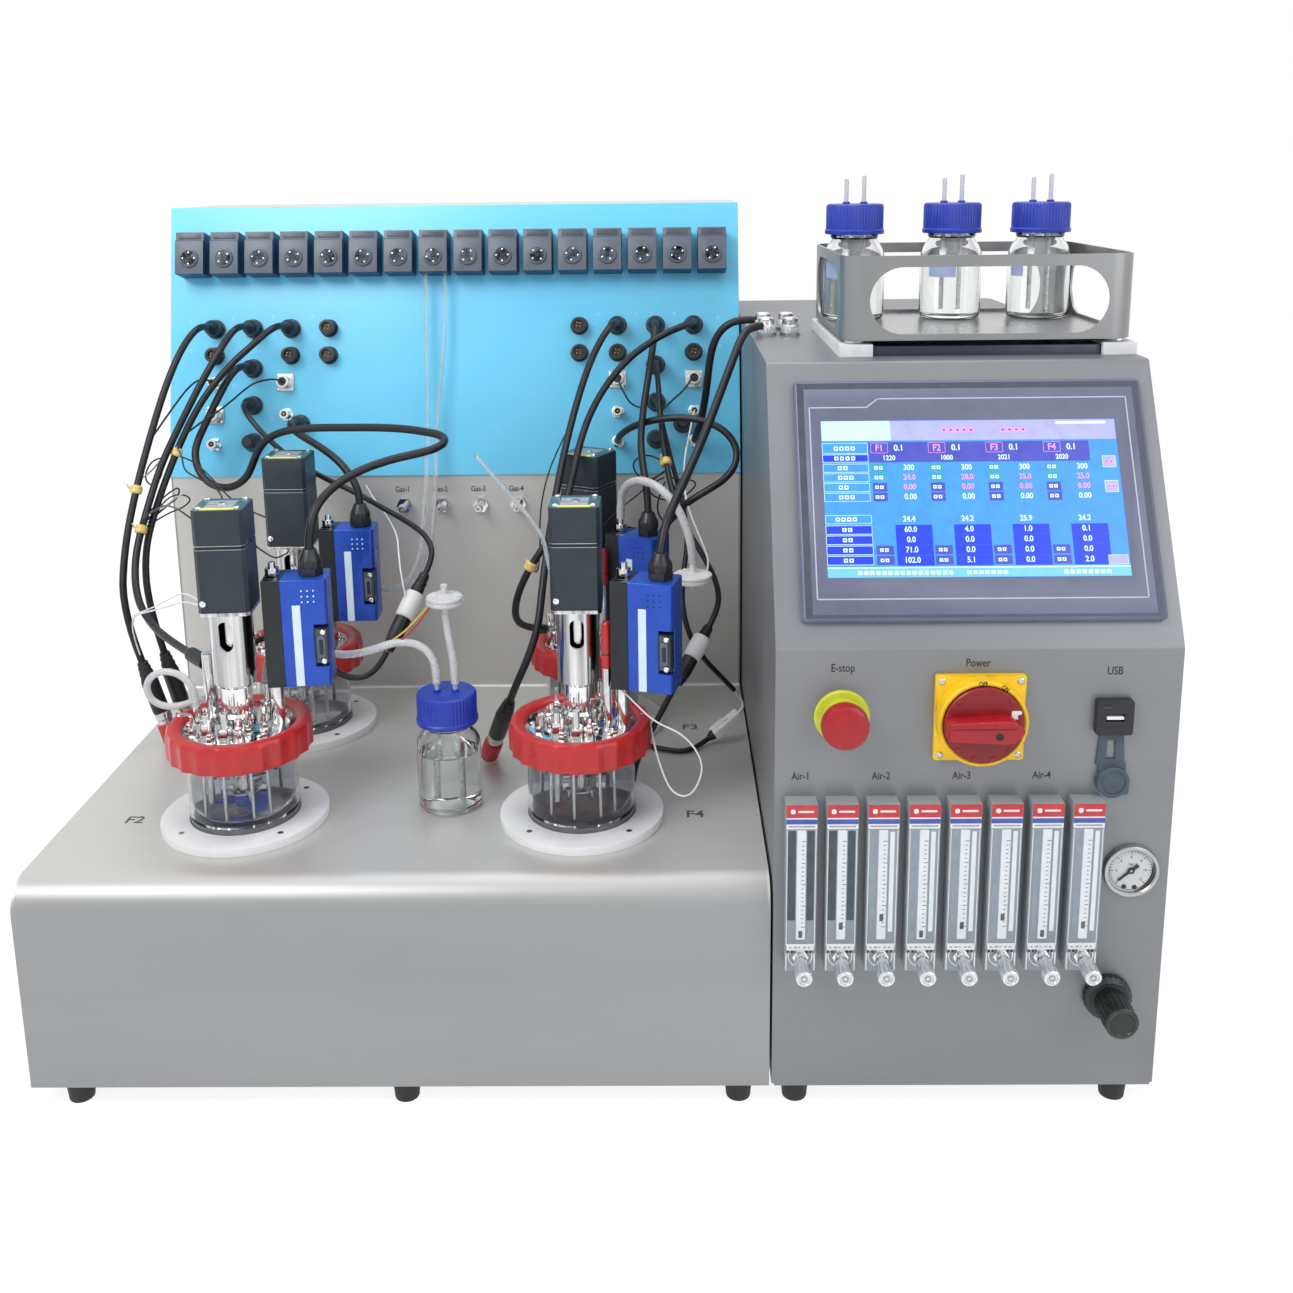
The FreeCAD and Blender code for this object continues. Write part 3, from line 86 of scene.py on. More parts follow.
bench = {
    "deckDepth": 416, "riserTop": 434, "panelLean": math.radians(14), "kneeHeight": 391,
    "screenLean": math.radians(29.4), "cabinetLeft": lowOf("cabinet_sides")[0],
}
vesselAxes = [middleOf("agitator_%d" % number)[:2] for number in (1, 2, 3, 4)]  # back left, front left, ...


def placed(x=0, y=0, z=0, lean=0, turn=0):  # lean about X first, then turn about Z, then the place
    return Matrix.Translation((x, y, z)) @ Matrix.Rotation(turn, 4, "Z") @ Matrix.Rotation(lean, 4, "X")


onPanel = placed(0, bench["deckDepth"], bench["riserTop"], math.pi / 2 - bench["panelLean"])
onFront = placed(bench["cabinetLeft"], 0, 0, math.pi / 2)
onScreen = placed(bench["cabinetLeft"], 0, bench["kneeHeight"], math.pi / 2 - bench["screenLean"])


# finishes: every one is a node tree that reads Object coordinates, in metres
def addNode(tree, kind, **sockets):
    node = tree.nodes.new(kind)
    for name, value in sockets.items():
        node.inputs[name.replace("_", " ")].default_value = value
    return node


def twoTones(tree, clouds, light, dark, first=0.34, last=0.66):
    tones = tree.nodes.new("ShaderNodeValToRGB")
    for element, position, tone in zip(tones.color_ramp.elements, (first, last), (dark, light)):
        element.position = position
        element.color = (*tone, 1)
    tree.links.new(clouds.outputs["Fac"], tones.inputs["Fac"])
    return tones.outputs["Color"]


# two tones mixed by a stretched noise, roughness by the same noise, and a fine bump;
# upper gives the two tones of a sheet's faces that look up, by the piece's own attribute: painted light, a
# lit or shaded copy of the same steel
def makeFinish(name, light, dark, rough, metal=0, grain=(90, 90, 90), fine=900, bump=0.15, upper=None,
               **extra):
    finish = bpy.data.materials.new(name)
    finish.use_nodes = True
    tree = finish.node_tree
    shader = tree.nodes["Principled BSDF"]
    place = tree.nodes.new("ShaderNodeTexCoord")
    stretch = addNode(tree, "ShaderNodeMapping", Scale=grain)
    tree.links.new(place.outputs["Object"], stretch.inputs["Vector"])
    clouds = addNode(tree, "ShaderNodeTexNoise", Scale=1, Detail=5, Roughness=0.6)
    tree.links.new(stretch.outputs["Vector"], clouds.inputs["Vector"])
    colour = twoTones(tree, clouds, light, dark)
    if upper:
        high = twoTones(tree, clouds, *upper)
        share = tree.nodes.new("ShaderNodeAttribute")
        share.attribute_name = "paintedLightShare"
        blend = tree.nodes.new("ShaderNodeMix")
        blend.data_type = "RGBA"
        tree.links.new(share.outputs["Fac"], blend.inputs["Factor"])
        tree.links.new(colour, blend.inputs[6])
        tree.links.new(high, blend.inputs[7])
        colour = blend.outputs[2]
    tree.links.new(colour, shader.inputs["Base Color"])
    spread = addNode(tree, "ShaderNodeMapRange", From_Min=0.3, From_Max=0.7, To_Min=rough[0],
                     To_Max=rough[1])
    tree.links.new(clouds.outputs["Fac"], spread.inputs["Value"])
    tree.links.new(spread.outputs["Result"], shader.inputs["Roughness"])
    pits = addNode(tree, "ShaderNodeTexNoise", Scale=fine, Detail=2)
    tree.links.new(place.outputs["Object"], pits.inputs["Vector"])
    relief = addNode(tree, "ShaderNodeBump", Strength=bump, Distance=0.0001)
    tree.links.new((clouds if max(grain) > 400 else pits).outputs["Fac"], relief.inputs["Height"])
    tree.links.new(relief.outputs["Normal"], shader.inputs["Normal"])
    for socket, value in {"Metallic": metal, **extra}.items():
        shader.inputs[socket.replace("_", " ")].default_value = value
    return finish


def glowing(name, light, dark):
    finish = makeFinish(name, light, dark, (0.25, 0.35), bump=0.02)
    tree = finish.node_tree
    shader = tree.nodes["Principled BSDF"]
    tones = next(node for node in tree.nodes if node.type == "VALTORGB")
    tree.links.new(tones.outputs["Color"], shader.inputs["Emission Color"])
    shader.inputs["Emission Strength"].default_value = 0.42
    return finish


# finishes as (light, dark, (least roughness, most)): dull ones, smooth prints, lit tones without roughness
plainFinishes = {
    "stopRed": ((0.42, 0.008, 0.016), (0.36, 0.005, 0.012), (0.25, 0.34)),
    "signYellow": ((0.95, 0.62, 0.01), (0.88, 0.53, 0.006), (0.3, 0.42)),
    "collarYellow": ((0.66, 0.72, 0.05), (0.55, 0.61, 0.03), (0.3, 0.42)),
    "whitePlastic": ((0.8, 0.8, 0.79), (0.7, 0.7, 0.69), (0.35, 0.5)),
    "socketBlack": ((0.016, 0.017, 0.022), (0.008, 0.009, 0.013), (0.3, 0.45)),
    "rubberGrey": ((0.075, 0.1, 0.13), (0.05, 0.07, 0.09), (0.45, 0.6)),
    "rotorGrey": ((0.075, 0.09, 0.11), (0.05, 0.062, 0.08), (0.3, 0.42)),
    "tieYellow": ((0.8, 0.62, 0.22), (0.68, 0.5, 0.15), (0.35, 0.5)),
    "wireWhite": ((0.8, 0.8, 0.8), (0.72, 0.72, 0.73), (0.3, 0.42)),
    "wireRed": ((0.45, 0.03, 0.03), (0.36, 0.02, 0.02), (0.3, 0.42)),
    "wireYellow": ((0.78, 0.6, 0.06), (0.68, 0.5, 0.04), (0.35, 0.45)),
    "impellerBlue": ((0.03, 0.14, 0.85), (0.02, 0.11, 0.75), (0.3, 0.4)),
    "regulatorBlack": ((0.016, 0.022, 0.018), (0.009, 0.013, 0.011), (0.22, 0.34)),
    "pumpBlue": ((0.025, 0.06, 0.15), (0.018, 0.045, 0.12), (0.4, 0.5)),
    "railWhite": ((0.74, 0.75, 0.76), (0.66, 0.67, 0.68), (0.4, 0.5)),
    "slabBlue": ((0.012, 0.018, 0.05), (0.008, 0.012, 0.035), (0.3, 0.45)),
    "footRubber": ((0.02, 0.02, 0.02), (0.012, 0.012, 0.012), (0.55, 0.7)),
}
smoothFinishes = {
    "labelWhite": ((0.85, 0.86, 0.88), (0.78, 0.79, 0.82), (0.4, 0.55)),
    "labelRed": ((0.62, 0.05, 0.06), (0.5, 0.035, 0.045), (0.35, 0.5)),
    "labelBlue": ((0.08, 0.12, 0.45), (0.06, 0.09, 0.36), (0.35, 0.5)),
    "stripYellow": ((0.9, 0.87, 0.16), (0.83, 0.79, 0.11), (0.35, 0.5)),
    "labelGrey": ((0.4, 0.41, 0.48), (0.33, 0.34, 0.4), (0.3, 0.45)),
    "switchRed": ((0.26, 0.006, 0.01), (0.22, 0.004, 0.007), (0.3, 0.4)),
    "printPale": ((0.72, 0.84, 0.95), (0.64, 0.78, 0.91), (0.35, 0.5)),
    "patchBlue": ((0.36, 0.45, 0.66), (0.3, 0.39, 0.6), (0.4, 0.5)),
    "printGrey": ((0.1, 0.1, 0.105), (0.07, 0.07, 0.075), (0.5, 0.6)),
    "stopDark": ((0.16, 0.004, 0.006), (0.12, 0.003, 0.004), (0.35, 0.45)),
    "slotDark": ((0.012, 0.012, 0.014), (0.007, 0.007, 0.009), (0.4, 0.5)),
    "printBlack": ((0.03, 0.03, 0.035), (0.02, 0.02, 0.025), (0.5, 0.6)),
    "printWhite": ((0.55, 0.8, 0.97), (0.45, 0.74, 0.95), (0.5, 0.6)),
    "plainWhite": ((0.88, 0.88, 0.87), (0.82, 0.82, 0.81), (0.45, 0.55)),
    "bezelLine": ((0.52, 0.55, 0.68), (0.46, 0.49, 0.62), (0.3, 0.4)),
}
screenFinishes = {
    "screenBlue": ((0.05, 0.28, 0.86), (0.045, 0.24, 0.8)),
    "screenDeep": ((0.012, 0.045, 0.66), (0.01, 0.035, 0.58)),
    "screenLilac": ((0.36, 0.38, 0.9), (0.32, 0.33, 0.84)),
    "screenPale": ((0.5, 0.74, 0.95), (0.46, 0.69, 0.9)),
    "screenCyan": ((0.16, 0.5, 0.92), (0.13, 0.45, 0.88)),
    "screenLine": ((0.62, 0.82, 0.98), (0.58, 0.78, 0.95)),
    "screenPink": ((0.8, 0.3, 0.62), (0.75, 0.26, 0.56)),
    "screenGreen": ((0.04, 0.3, 0.4), (0.03, 0.26, 0.36)),
    "screenDark": ((0.06, 0.07, 0.42), (0.05, 0.06, 0.38)),
}
fullFinishes = {
    # the steels' upper tones are painted light: faces that look up are lighter on the deck and the rack, and
    # darker on the cabinet, than the walls of the same steel
    "deckSteel": ((0.345, 0.35, 0.355), (0.305, 0.312, 0.318), (0.36, 0.46), dict(metal=0.45,
        grain=(2, 9, 9), fine=1400, bump=0.05, upper=((0.6, 0.6, 0.575), (0.56, 0.56, 0.535)))),
    "cabinetSteel": ((0.262, 0.27, 0.283), (0.232, 0.24, 0.252), (0.36, 0.46), dict(metal=0.45,
        grain=(3, 6, 6), fine=1400, bump=0.05, upper=((0.235, 0.245, 0.262), (0.21, 0.22, 0.236)))),
    "rackSteel": ((0.3, 0.305, 0.31), (0.25, 0.255, 0.26), (0.24, 0.34), dict(metal=0.7,
        grain=(8, 8, 3), fine=1200, bump=0.05, upper=((0.46, 0.465, 0.47), (0.42, 0.425, 0.43)))),
    "polishedSteel": ((0.8, 0.8, 0.79), (0.55, 0.55, 0.56), (0.05, 0.13), dict(metal=1,
        grain=(120, 120, 60), bump=0.04)),
    "tubeSteel": ((0.8, 0.8, 0.8), (0.26, 0.27, 0.29), (0.08, 0.2), dict(metal=1,
        grain=(170, 170, 3), bump=0.02)),
    "satinSteel": ((0.62, 0.62, 0.62), (0.45, 0.45, 0.45), (0.18, 0.3), dict(metal=1, bump=0.06)),
    "darkSteel": ((0.16, 0.165, 0.175), (0.09, 0.09, 0.1), (0.25, 0.4), dict(metal=0.9, bump=0.1)),
    "bluePaint": ((0.175, 0.67, 0.97), (0.155, 0.63, 0.94), (0.3, 0.38), dict(grain=(4, 4, 4),
        fine=1500, bump=0.1)),
    "condenserBlue": ((0.022, 0.09, 0.52), (0.016, 0.07, 0.45), (0.25, 0.38), dict(metal=0.35,
        grain=(30, 30, 30), fine=1600, bump=0.18)),
    "capBlue": ((0.01, 0.04, 0.42), (0.008, 0.03, 0.34), (0.3, 0.42), dict(Subsurface_Weight=0.05)),
    "ringRed": ((0.52, 0.016, 0.018), (0.46, 0.012, 0.014), (0.26, 0.38), dict(grain=(40, 40, 40),
        fine=1400, bump=0.12, Coat_Weight=0.15)),
    "flangeWhite": ((0.84, 0.85, 0.86), (0.77, 0.78, 0.79), (0.35, 0.5), dict(grain=(25, 25, 25),
        fine=1100, bump=0.1)),
    "motorBlack": ((0.022, 0.034, 0.046), (0.016, 0.026, 0.036), (0.34, 0.46), dict(metal=0.1,
        grain=(50, 50, 50), fine=1300, bump=0.2)),
    "motorTeal": ((0.07, 0.16, 0.18), (0.045, 0.11, 0.125), (0.3, 0.45), dict(metal=0.3)),
    "cordBlack": ((0.011, 0.012, 0.017), (0.006, 0.007, 0.01), (0.34, 0.46),
        dict(grain=(120, 120, 120), fine=1800, bump=0.1, Specular_IOR_Level=0.38)),
    "pumpGrey": ((0.112, 0.138, 0.172), (0.094, 0.118, 0.15), (0.35, 0.48), dict(grain=(60, 60, 60),
        fine=1200, bump=0.15)),
    "chrome": ((0.88, 0.88, 0.87), (0.78, 0.78, 0.78), (0.04, 0.1), dict(metal=1, bump=0.01)),
    "pinGold": ((0.62, 0.45, 0.18), (0.5, 0.35, 0.12), (0.2, 0.3), dict(metal=1, bump=0.02)),
    "sinkBlack": ((0.03, 0.033, 0.038), (0.016, 0.018, 0.022), (0.3, 0.44), dict(metal=0.4,
        grain=(40, 40, 8), fine=1200, bump=0.15)),
    "tubeClear": ((0.8, 0.83, 0.84), (0.76, 0.79, 0.8), (0.06, 0.14), dict(grain=(20, 20, 20),
        bump=0.01, Transmission_Weight=0.8, IOR=1.25)),
    "vesselGlass": ((0.86, 0.875, 0.89), (0.82, 0.835, 0.85), (0, 0.03), dict(grain=(20, 20, 20),
        bump=0, Transmission_Weight=1, IOR=1.2)),
    "vesselHaze": ((0.78, 0.79, 0.82), (0.66, 0.67, 0.71), (0.04, 0.2), dict(grain=(40, 40, 14),
        bump=0.02, Transmission_Weight=0.93, IOR=1.06)),
    "glassFoot": ((0.19, 0.2, 0.215), (0.13, 0.14, 0.15), (0.06, 0.16), dict(grain=(50, 50, 20),
        bump=0.01, Transmission_Weight=0.15, IOR=1.4)),
    "bezelDark": ((0.07, 0.078, 0.115), (0.055, 0.062, 0.095), (0.3, 0.42), dict(bump=0.03)),
    "meterBody": ((0.6, 0.66, 0.7), (0.52, 0.58, 0.62), (0.05, 0.12), dict(grain=(30, 30, 6),
        bump=0.02, Transmission_Weight=0.45, IOR=1.2)),
    "meterTube": ((0.8, 0.84, 0.86), (0.72, 0.77, 0.8), (0.08, 0.16), dict(bump=0.01)),
    "meterDark": ((0.06, 0.085, 0.1), (0.04, 0.06, 0.075), (0.1, 0.2), dict(bump=0.01)),
    "knobClear": ((0.8, 0.82, 0.84), (0.68, 0.71, 0.74), (0.08, 0.18), dict(metal=0.55, bump=0.02,
        Transmission_Weight=0.2, IOR=1.3)),
    "gaugeRim": ((0.5, 0.5, 0.5), (0.42, 0.42, 0.42), (0.16, 0.26), dict(metal=1, bump=0.02)),
    "dialWhite": ((0.66, 0.67, 0.67), (0.62, 0.63, 0.63), (0.3, 0.4), dict(bump=0.01)),
    "meterShade": ((0.3, 0.36, 0.41), (0.24, 0.3, 0.35), (0.08, 0.16), dict(bump=0.01)),
    "bezelGrey": ((0.155, 0.168, 0.25), (0.125, 0.137, 0.21), (0.3, 0.42), dict(metal=0.1,
        grain=(20, 20, 20), fine=1500, bump=0.1)),
    "siliconeMilk": ((0.76, 0.77, 0.78), (0.72, 0.73, 0.74), (0.22, 0.34), dict(grain=(60, 60, 60),
        bump=0.05, Transmission_Weight=0.35, IOR=1.41)),
    "clearGlass": ((0.95, 0.965, 0.96), (0.91, 0.93, 0.925), (0, 0.02), dict(grain=(20, 20, 20),
        bump=0, Transmission_Weight=1, IOR=1.47)),
    "water": ((0.93, 0.95, 0.955), (0.9, 0.93, 0.94), (0, 0.01), dict(grain=(20, 20, 20), bump=0,
        Transmission_Weight=1, IOR=1.33)),
    "heaterPlate": ((0.42, 0.43, 0.44), (0.33, 0.34, 0.35), (0.3, 0.45), dict(metal=0.7)),
}
finishes = {name: makeFinish(name, *tones) for name, tones in plainFinishes.items()}
finishes.update({name: makeFinish(name, *tones, bump=0.02) for name, tones in smoothFinishes.items()})
finishes.update({name: makeFinish(name, *tones, **more) for name, (*tones, more) in fullFinishes.items()})
finishes.update({name: glowing(name, *tones) for name, tones in screenFinishes.items()})
print("finishes made:", len(finishes))


# shapes: a shape is its points in bench millimetres, its faces and its finish
def shapeOf(points, faces, finish):
    return {"points": np.asarray(points, float), "faces": faces, "finish": finish}


def moved(shape, matrix):
    matrix = np.array(matrix)
    return {**shape, "points": shape["points"] @ matrix[:3, :3].T + matrix[:3, 3]}


def gridFaces(rows, columns, closedRows=False):  # quads of a grid whose columns run round; rows may too
    index = np.arange(rows * columns).reshape(rows, columns)
    if closedRows:
        index = np.vstack([index, index[:1]])
    right = np.roll(index, -1, axis=1)
    return np.stack([index[:-1], right[:-1], right[1:], index[1:]], axis=-1).reshape(-1, 4).tolist()


# Each inner corner of an open line becomes a short curve between two points at most radius away.
def softened(profile, radius, steps=3):
    line = [np.array(point, float) for point in profile]
    result = [line[0]]
    for before, here, after in zip(line, line[1:], line[2:]):
        back = before - here
        ahead = after - here
        first = here + back * min(0.45, radius / max(np.linalg.norm(back[:2]), 1e-6))
        last = here + ahead * min(0.45, radius / max(np.linalg.norm(ahead[:2]), 1e-6))
        for share in np.linspace(0, 1, steps):
            result.append((1 - share) ** 2 * first + 2 * share * (1 - share) * here + share ** 2 * last)
    result.append(line[-1])
    return np.array(result)


# A (radius, height, rib share) line turned about Z: radius less ribDepth * share * (0.5 + 0.5 cos)^power.
# A radius of 0 at an end closes it with a fan; loop joins the last row to the first.
def turnedShape(profile, finish, turns=40, ribs=0, ribDepth=0, ribPower=1, soft=0, loop=False):
    line = np.array([tuple(point) + (0,) * (3 - len(point)) for point in profile], float)
    if soft:
        line = softened(line, soft)
    closeStart = line[0, 0] < 1e-6
    closeEnd = line[-1, 0] < 1e-6
    body = line[(1 if closeStart else 0):(len(line) - 1 if closeEnd else len(line))]
    angle = 2 * math.pi * np.arange(turns) / turns
    wave = (0.5 + 0.5 * np.cos(ribs * angle)) ** ribPower if ribs else np.zeros(turns)
    radius = body[:, 0:1] - ribDepth * body[:, 2:3] * wave
    height = np.repeat(body[:, 1:2], turns, 1)
    points = np.stack([radius * np.cos(angle), radius * np.sin(angle), height], -1).reshape(-1, 3)
    faces = gridFaces(len(body), turns, loop)
    if closeStart:
        points = np.vstack([points, (0, 0, line[0, 1])])
        hub = len(points) - 1
        faces += [[hub, (step + 1) % turns, step] for step in range(turns)]
    if closeEnd:
        points = np.vstack([points, (0, 0, line[-1, 1])])
        hub = len(points) - 1
        start = (len(body) - 1) * turns
        faces += [[hub, start + step, start + (step + 1) % turns] for step in range(turns)]
    return shapeOf(points, faces, finish)


# Closed outline, a quarter circle at each corner.
def roundRectangle(width, height, corner, x=0, y=0, steps=5):
    quarter = np.linspace(0, math.pi / 2, steps)
    parts = []
    for step, (sideX, sideY) in enumerate(((1, 1), (-1, 1), (-1, -1), (1, -1))):
        angle = quarter + step * math.pi / 2
        parts.append(np.stack([x + sideX * (width / 2 - corner) + corner * np.cos(angle),
                               y + sideY * (height / 2 - corner) + corner * np.sin(angle)], -1))
    return np.vstack(parts)


def hexagon(radius, turn=0):
    angle = turn + np.arange(6) * math.pi / 3
    return np.stack([radius * np.cos(angle), radius * np.sin(angle)], -1)


# A closed outline raised from bottom to top; each end's rim is a quarter round set in by mitred normals.
def raisedShape(outline, bottom, top, finish, edge=0, lowEdge=0, steps=3):
    outline = np.asarray(outline, float)
    run = np.roll(outline, -1, axis=0) - outline
    normal = np.stack([run[:, 1], -run[:, 0]], -1) / np.linalg.norm(run, axis=1)[:, None]
    before = np.roll(normal, 1, axis=0)
    mitre = (normal + before) / (1 + np.sum(normal * before, axis=1))[:, None]
    levels = []
    for share in (np.linspace(0, 1, steps) if lowEdge else (1,)):
        angle = share * math.pi / 2
        levels.append((lowEdge * (1 - math.sin(angle)), bottom + lowEdge * (1 - math.cos(angle))))
    for share in (np.linspace(0, 1, steps) if edge else (0,)):
        angle = share * math.pi / 2
        levels.append((edge * (1 - math.cos(angle)), top - edge + edge * math.sin(angle)))
    points = np.vstack([np.hstack([outline - mitre * inset, np.full((len(outline), 1), height)])
                        for inset, height in levels])
    count = len(outline)
    faces = gridFaces(len(levels), count)
    faces.append(list(range(count))[::-1])
    faces.append([(len(levels) - 1) * count + step for step in range(count)])
    return shapeOf(points, faces, finish)


# Torus: out from Z by major + minor cos b, up by minor sin b.
def ringShape(major, minor, finish, turns=40, sides=8):
    angle = 2 * math.pi * np.arange(sides) / sides
    profile = [(major + minor * math.cos(a), minor * math.sin(a)) for a in angle]
    return turnedShape(profile, finish, turns, loop=True)


def plates(*rows):
    return [plateShape(*row) for row in rows]


def discs(*rows):
    return [roundShape(*row) for row in rows]


def onRing(x, y, ring, turn, z=0, out=0):  # a place on a ring about (x, y), with a turn of its own
    return placed(x + ring * math.cos(turn), y + ring * math.sin(turn), z, 0, out)


def corners(across, along=None):  # the four corners of a rectangle about the middle
    return [placed(a * across, b * (along or across)) for a in (-1, 1) for b in (-1, 1)]


# Joins shapes into one mesh, smooth but for edges that turn by more than sharp degrees.
def addPiece(name, shapes, body="root", instead=(), sharp=32):
    mesh = bpy.data.meshes.new(name)
    points = []
    faces = []
    inks = []
    used = []
    offset = 0
    for shape in shapes:
        if shape["finish"] not in used:
            used.append(shape["finish"])
        points.append(shape["points"])
        faces.extend([[index + offset for index in face] for face in shape["faces"]])
        inks.extend([used.index(shape["finish"])] * len(shape["faces"]))
        offset += len(shape["points"])
    mesh.from_pydata(toRow(np.vstack(points)).tolist(), [], faces)
    for finish in used:
        mesh.materials.append(finishes[finish])
    mesh.polygons.foreach_set("material_index", inks)
    mesh.polygons.foreach_set("use_smooth", [True] * len(faces))
    mesh.set_sharp_from_angle(angle=math.radians(sharp))
    mesh.validate()
    piece = bpy.data.objects.new(name, mesh)
    bpy.context.scene.collection.objects.link(piece)
    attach(piece, body)
    if instead:
        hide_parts(*([instead] if isinstance(instead, str) else instead))
    return piece


# a copy of a CAD node with its doubles merged and its flat faces joined, so that it can shade smoothly;
# facing = (direction, finish) gives the faces that look that way a finish of their own
def dressed(node, finish, bevel=0, body="root", sharp=32, facing=None, pale=0):
    piece = frame["nodes"][node].copy()
    piece.data = piece.data.copy()
    piece.name = node + "_finished"
    bpy.context.scene.collection.objects.link(piece)
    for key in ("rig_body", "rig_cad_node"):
        if key in piece:
            del piece[key]
    work = bmesh.new()
    work.from_mesh(piece.data)
    bmesh.ops.remove_doubles(work, verts=work.verts, dist=0.000002)
    bmesh.ops.dissolve_limit(work, angle_limit=math.radians(0.5), verts=work.verts, edges=work.edges)
    if bevel:
        edges = [edge for edge in work.edges if len(edge.link_faces) == 2
                 and edge.calc_face_angle(0) > math.radians(50)]
        bmesh.ops.bevel(work, geom=edges, offset=bevel / 1000, segments=2, profile=0.6, affect="EDGES",
                        clamp_overlap=True)
    work.to_mesh(piece.data)
    work.free()
    piece.data.materials.clear()
    piece.data.materials.append(finishes[finish])
    piece.data.polygons.foreach_set("material_index", [0] * len(piece.data.polygons))
    piece.data.polygons.foreach_set("use_smooth", [True] * len(piece.data.polygons))
    piece.data.set_sharp_from_angle(angle=math.radians(sharp))
    if facing:
        piece.data.materials.append(finishes[facing[1]])
        normals = np.zeros(len(piece.data.polygons) * 3)
        piece.data.polygons.foreach_get("normal", normals)
        turned = normals.reshape(-1, 3) @ np.array(facing[0]) > 0.9
        piece.data.polygons.foreach_set("material_index", turned.astype(int).tolist())
    # painted light: the share of the upper tones, 1 on faces that look up, or with pale, 1 behind the front
    # bend
    looks = np.zeros(len(piece.data.loops) * 3)
    piece.data.corner_normals.foreach_get("vector", looks)
    share = np.clip((looks.reshape(-1, 3)[:, 2] - 0.15) / 0.6, 0, 1)  # 0 on walls, 1 on faces that look up
    if pale:  # or 1 from this far behind the front
        index = np.zeros(len(piece.data.loops), int)
        piece.data.loops.foreach_get("vertex_index", index)
        depth = np.array([vertex.co.y for vertex in piece.data.vertices])[index] * 1000 - benchCorner[1]
        share = np.clip(depth / pale, 0, 1)
    paintedLightShare = piece.data.attributes.new("paintedLightShare", "FLOAT", "CORNER")
    paintedLightShare.data.foreach_set("value", (share * share * (3 - 2 * share)).tolist())
    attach(piece, body)
    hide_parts(node)
    return piece


# Raised letters: a font curve made a mesh, then set on its face by the matrix.
def letterShapes(text, size, matrix, finish, thick=0.12, bold=0):
    curve = bpy.data.curves.new("letters", "FONT")
    curve.body = text
    curve.size = size
    curve.extrude = thick / 2
    curve.offset = bold * size
    curve.align_x = "CENTER"
    curve.align_y = "CENTER"
    curve.resolution_u = 3
    holder = bpy.data.objects.new("letters", curve)
    bpy.context.scene.collection.objects.link(holder)
    bpy.context.view_layer.update()
    mesh = bpy.data.meshes.new_from_object(holder.evaluated_get(bpy.context.evaluated_depsgraph_get()))
    points = np.zeros(len(mesh.vertices) * 3)
    mesh.vertices.foreach_get("co", points)
    faces = [list(face.vertices) for face in mesh.polygons]
    bpy.data.objects.remove(holder)
    bpy.data.curves.remove(curve)
    bpy.data.meshes.remove(mesh)
    return moved(shapeOf(points.reshape(-1, 3) + (0, 0, thick / 2), faces, finish), matrix)


# camera and light
view = {"place": (518, -950, 743), "yaw": 0.69, "pitch": -12.01, "roll": 0.64, "lens": 37.14,
        "shift": -0.147}


def addCamera():
    camera = bpy.data.cameras.new("camera")
    camera.sensor_width = 36
    camera.lens = view["lens"]
    camera.shift_y = view["shift"]
    camera.clip_start = 0.01
    holder = bpy.data.objects.new("camera", camera)
    turn = (Matrix.Rotation(math.radians(view["yaw"]), 4, "Z")
            @ Matrix.Rotation(math.radians(90 + view["pitch"]), 4, "X")
            @ Matrix.Rotation(math.radians(-view["roll"]), 4, "Z"))
    holder.matrix_world = Matrix.Translation(toRow(view["place"])) @ turn
    bpy.context.scene.collection.objects.link(holder)
    bpy.context.scene.camera = holder


lamps = {
    "key": {"place": (-0.9, -1.1, 1.7), "size": 0.9, "watts": 20, "tint": (1, 0.99, 0.97)},
    "fill": {"place": (1.3, -1.3, 1.1), "size": 1.2, "watts": 8.5, "tint": (0.96, 0.98, 1)},
    "top": {"place": (0.1, 0.2, 2), "size": 1.3, "watts": 10.5, "tint": (1, 1, 1)},
}


def addLamps():
    for name, lamp in lamps.items():
        light = bpy.data.lights.new(name, "AREA")
        light.shape = "SQUARE"
        light.size = lamp["size"]
        light.energy = lamp["watts"]
        light.color = lamp["tint"]
        holder = bpy.data.objects.new(name, light)
        place = Vector(lamp["place"])
        aim = Vector((0, 0, 0.3)) - place
        holder.matrix_world = Matrix.Translation(place) @ aim.to_track_quat("-Z", "Y").to_matrix().to_4x4()
        bpy.context.scene.collection.objects.link(holder)


# Seen straight, in a mirror or through glass the result is white; all else gets the plain value.
def whiteToCamera(tree, plain, white):
    path = tree.nodes.new("ShaderNodeLightPath")
    seen = path.outputs["Is Camera Ray"]
    for other in ("Is Glossy Ray", "Is Transmission Ray"):
        most = tree.nodes.new("ShaderNodeMath")
        most.operation = "MAXIMUM"
        tree.links.new(seen, most.inputs[0])
        tree.links.new(path.outputs[other], most.inputs[1])
        seen = most.outputs[0]
    mix = tree.nodes.new("ShaderNodeMixShader")
    tree.links.new(seen, mix.inputs["Fac"])
    tree.links.new(plain, mix.inputs[1])
    tree.links.new(white, mix.inputs[2])
    return mix.outputs[0]


def addWorld():
    world = bpy.data.worlds.new("studio")
    bpy.context.scene.world = world
    world.use_nodes = True
    tree = world.node_tree
    plain = tree.nodes["Background"]
    plain.inputs["Color"].default_value = (0.93, 0.95, 1, 1)
    plain.inputs["Strength"].default_value = 0.5
    white = tree.nodes.new("ShaderNodeBackground")
    white.inputs["Color"].default_value = (1, 1, 1, 1)
    white.inputs["Strength"].default_value = 1
    output = next(node for node in tree.nodes if node.type == "OUTPUT_WORLD")
    tree.links.new(whiteToCamera(tree, plain.outputs[0], white.outputs[0]), output.inputs["Surface"])


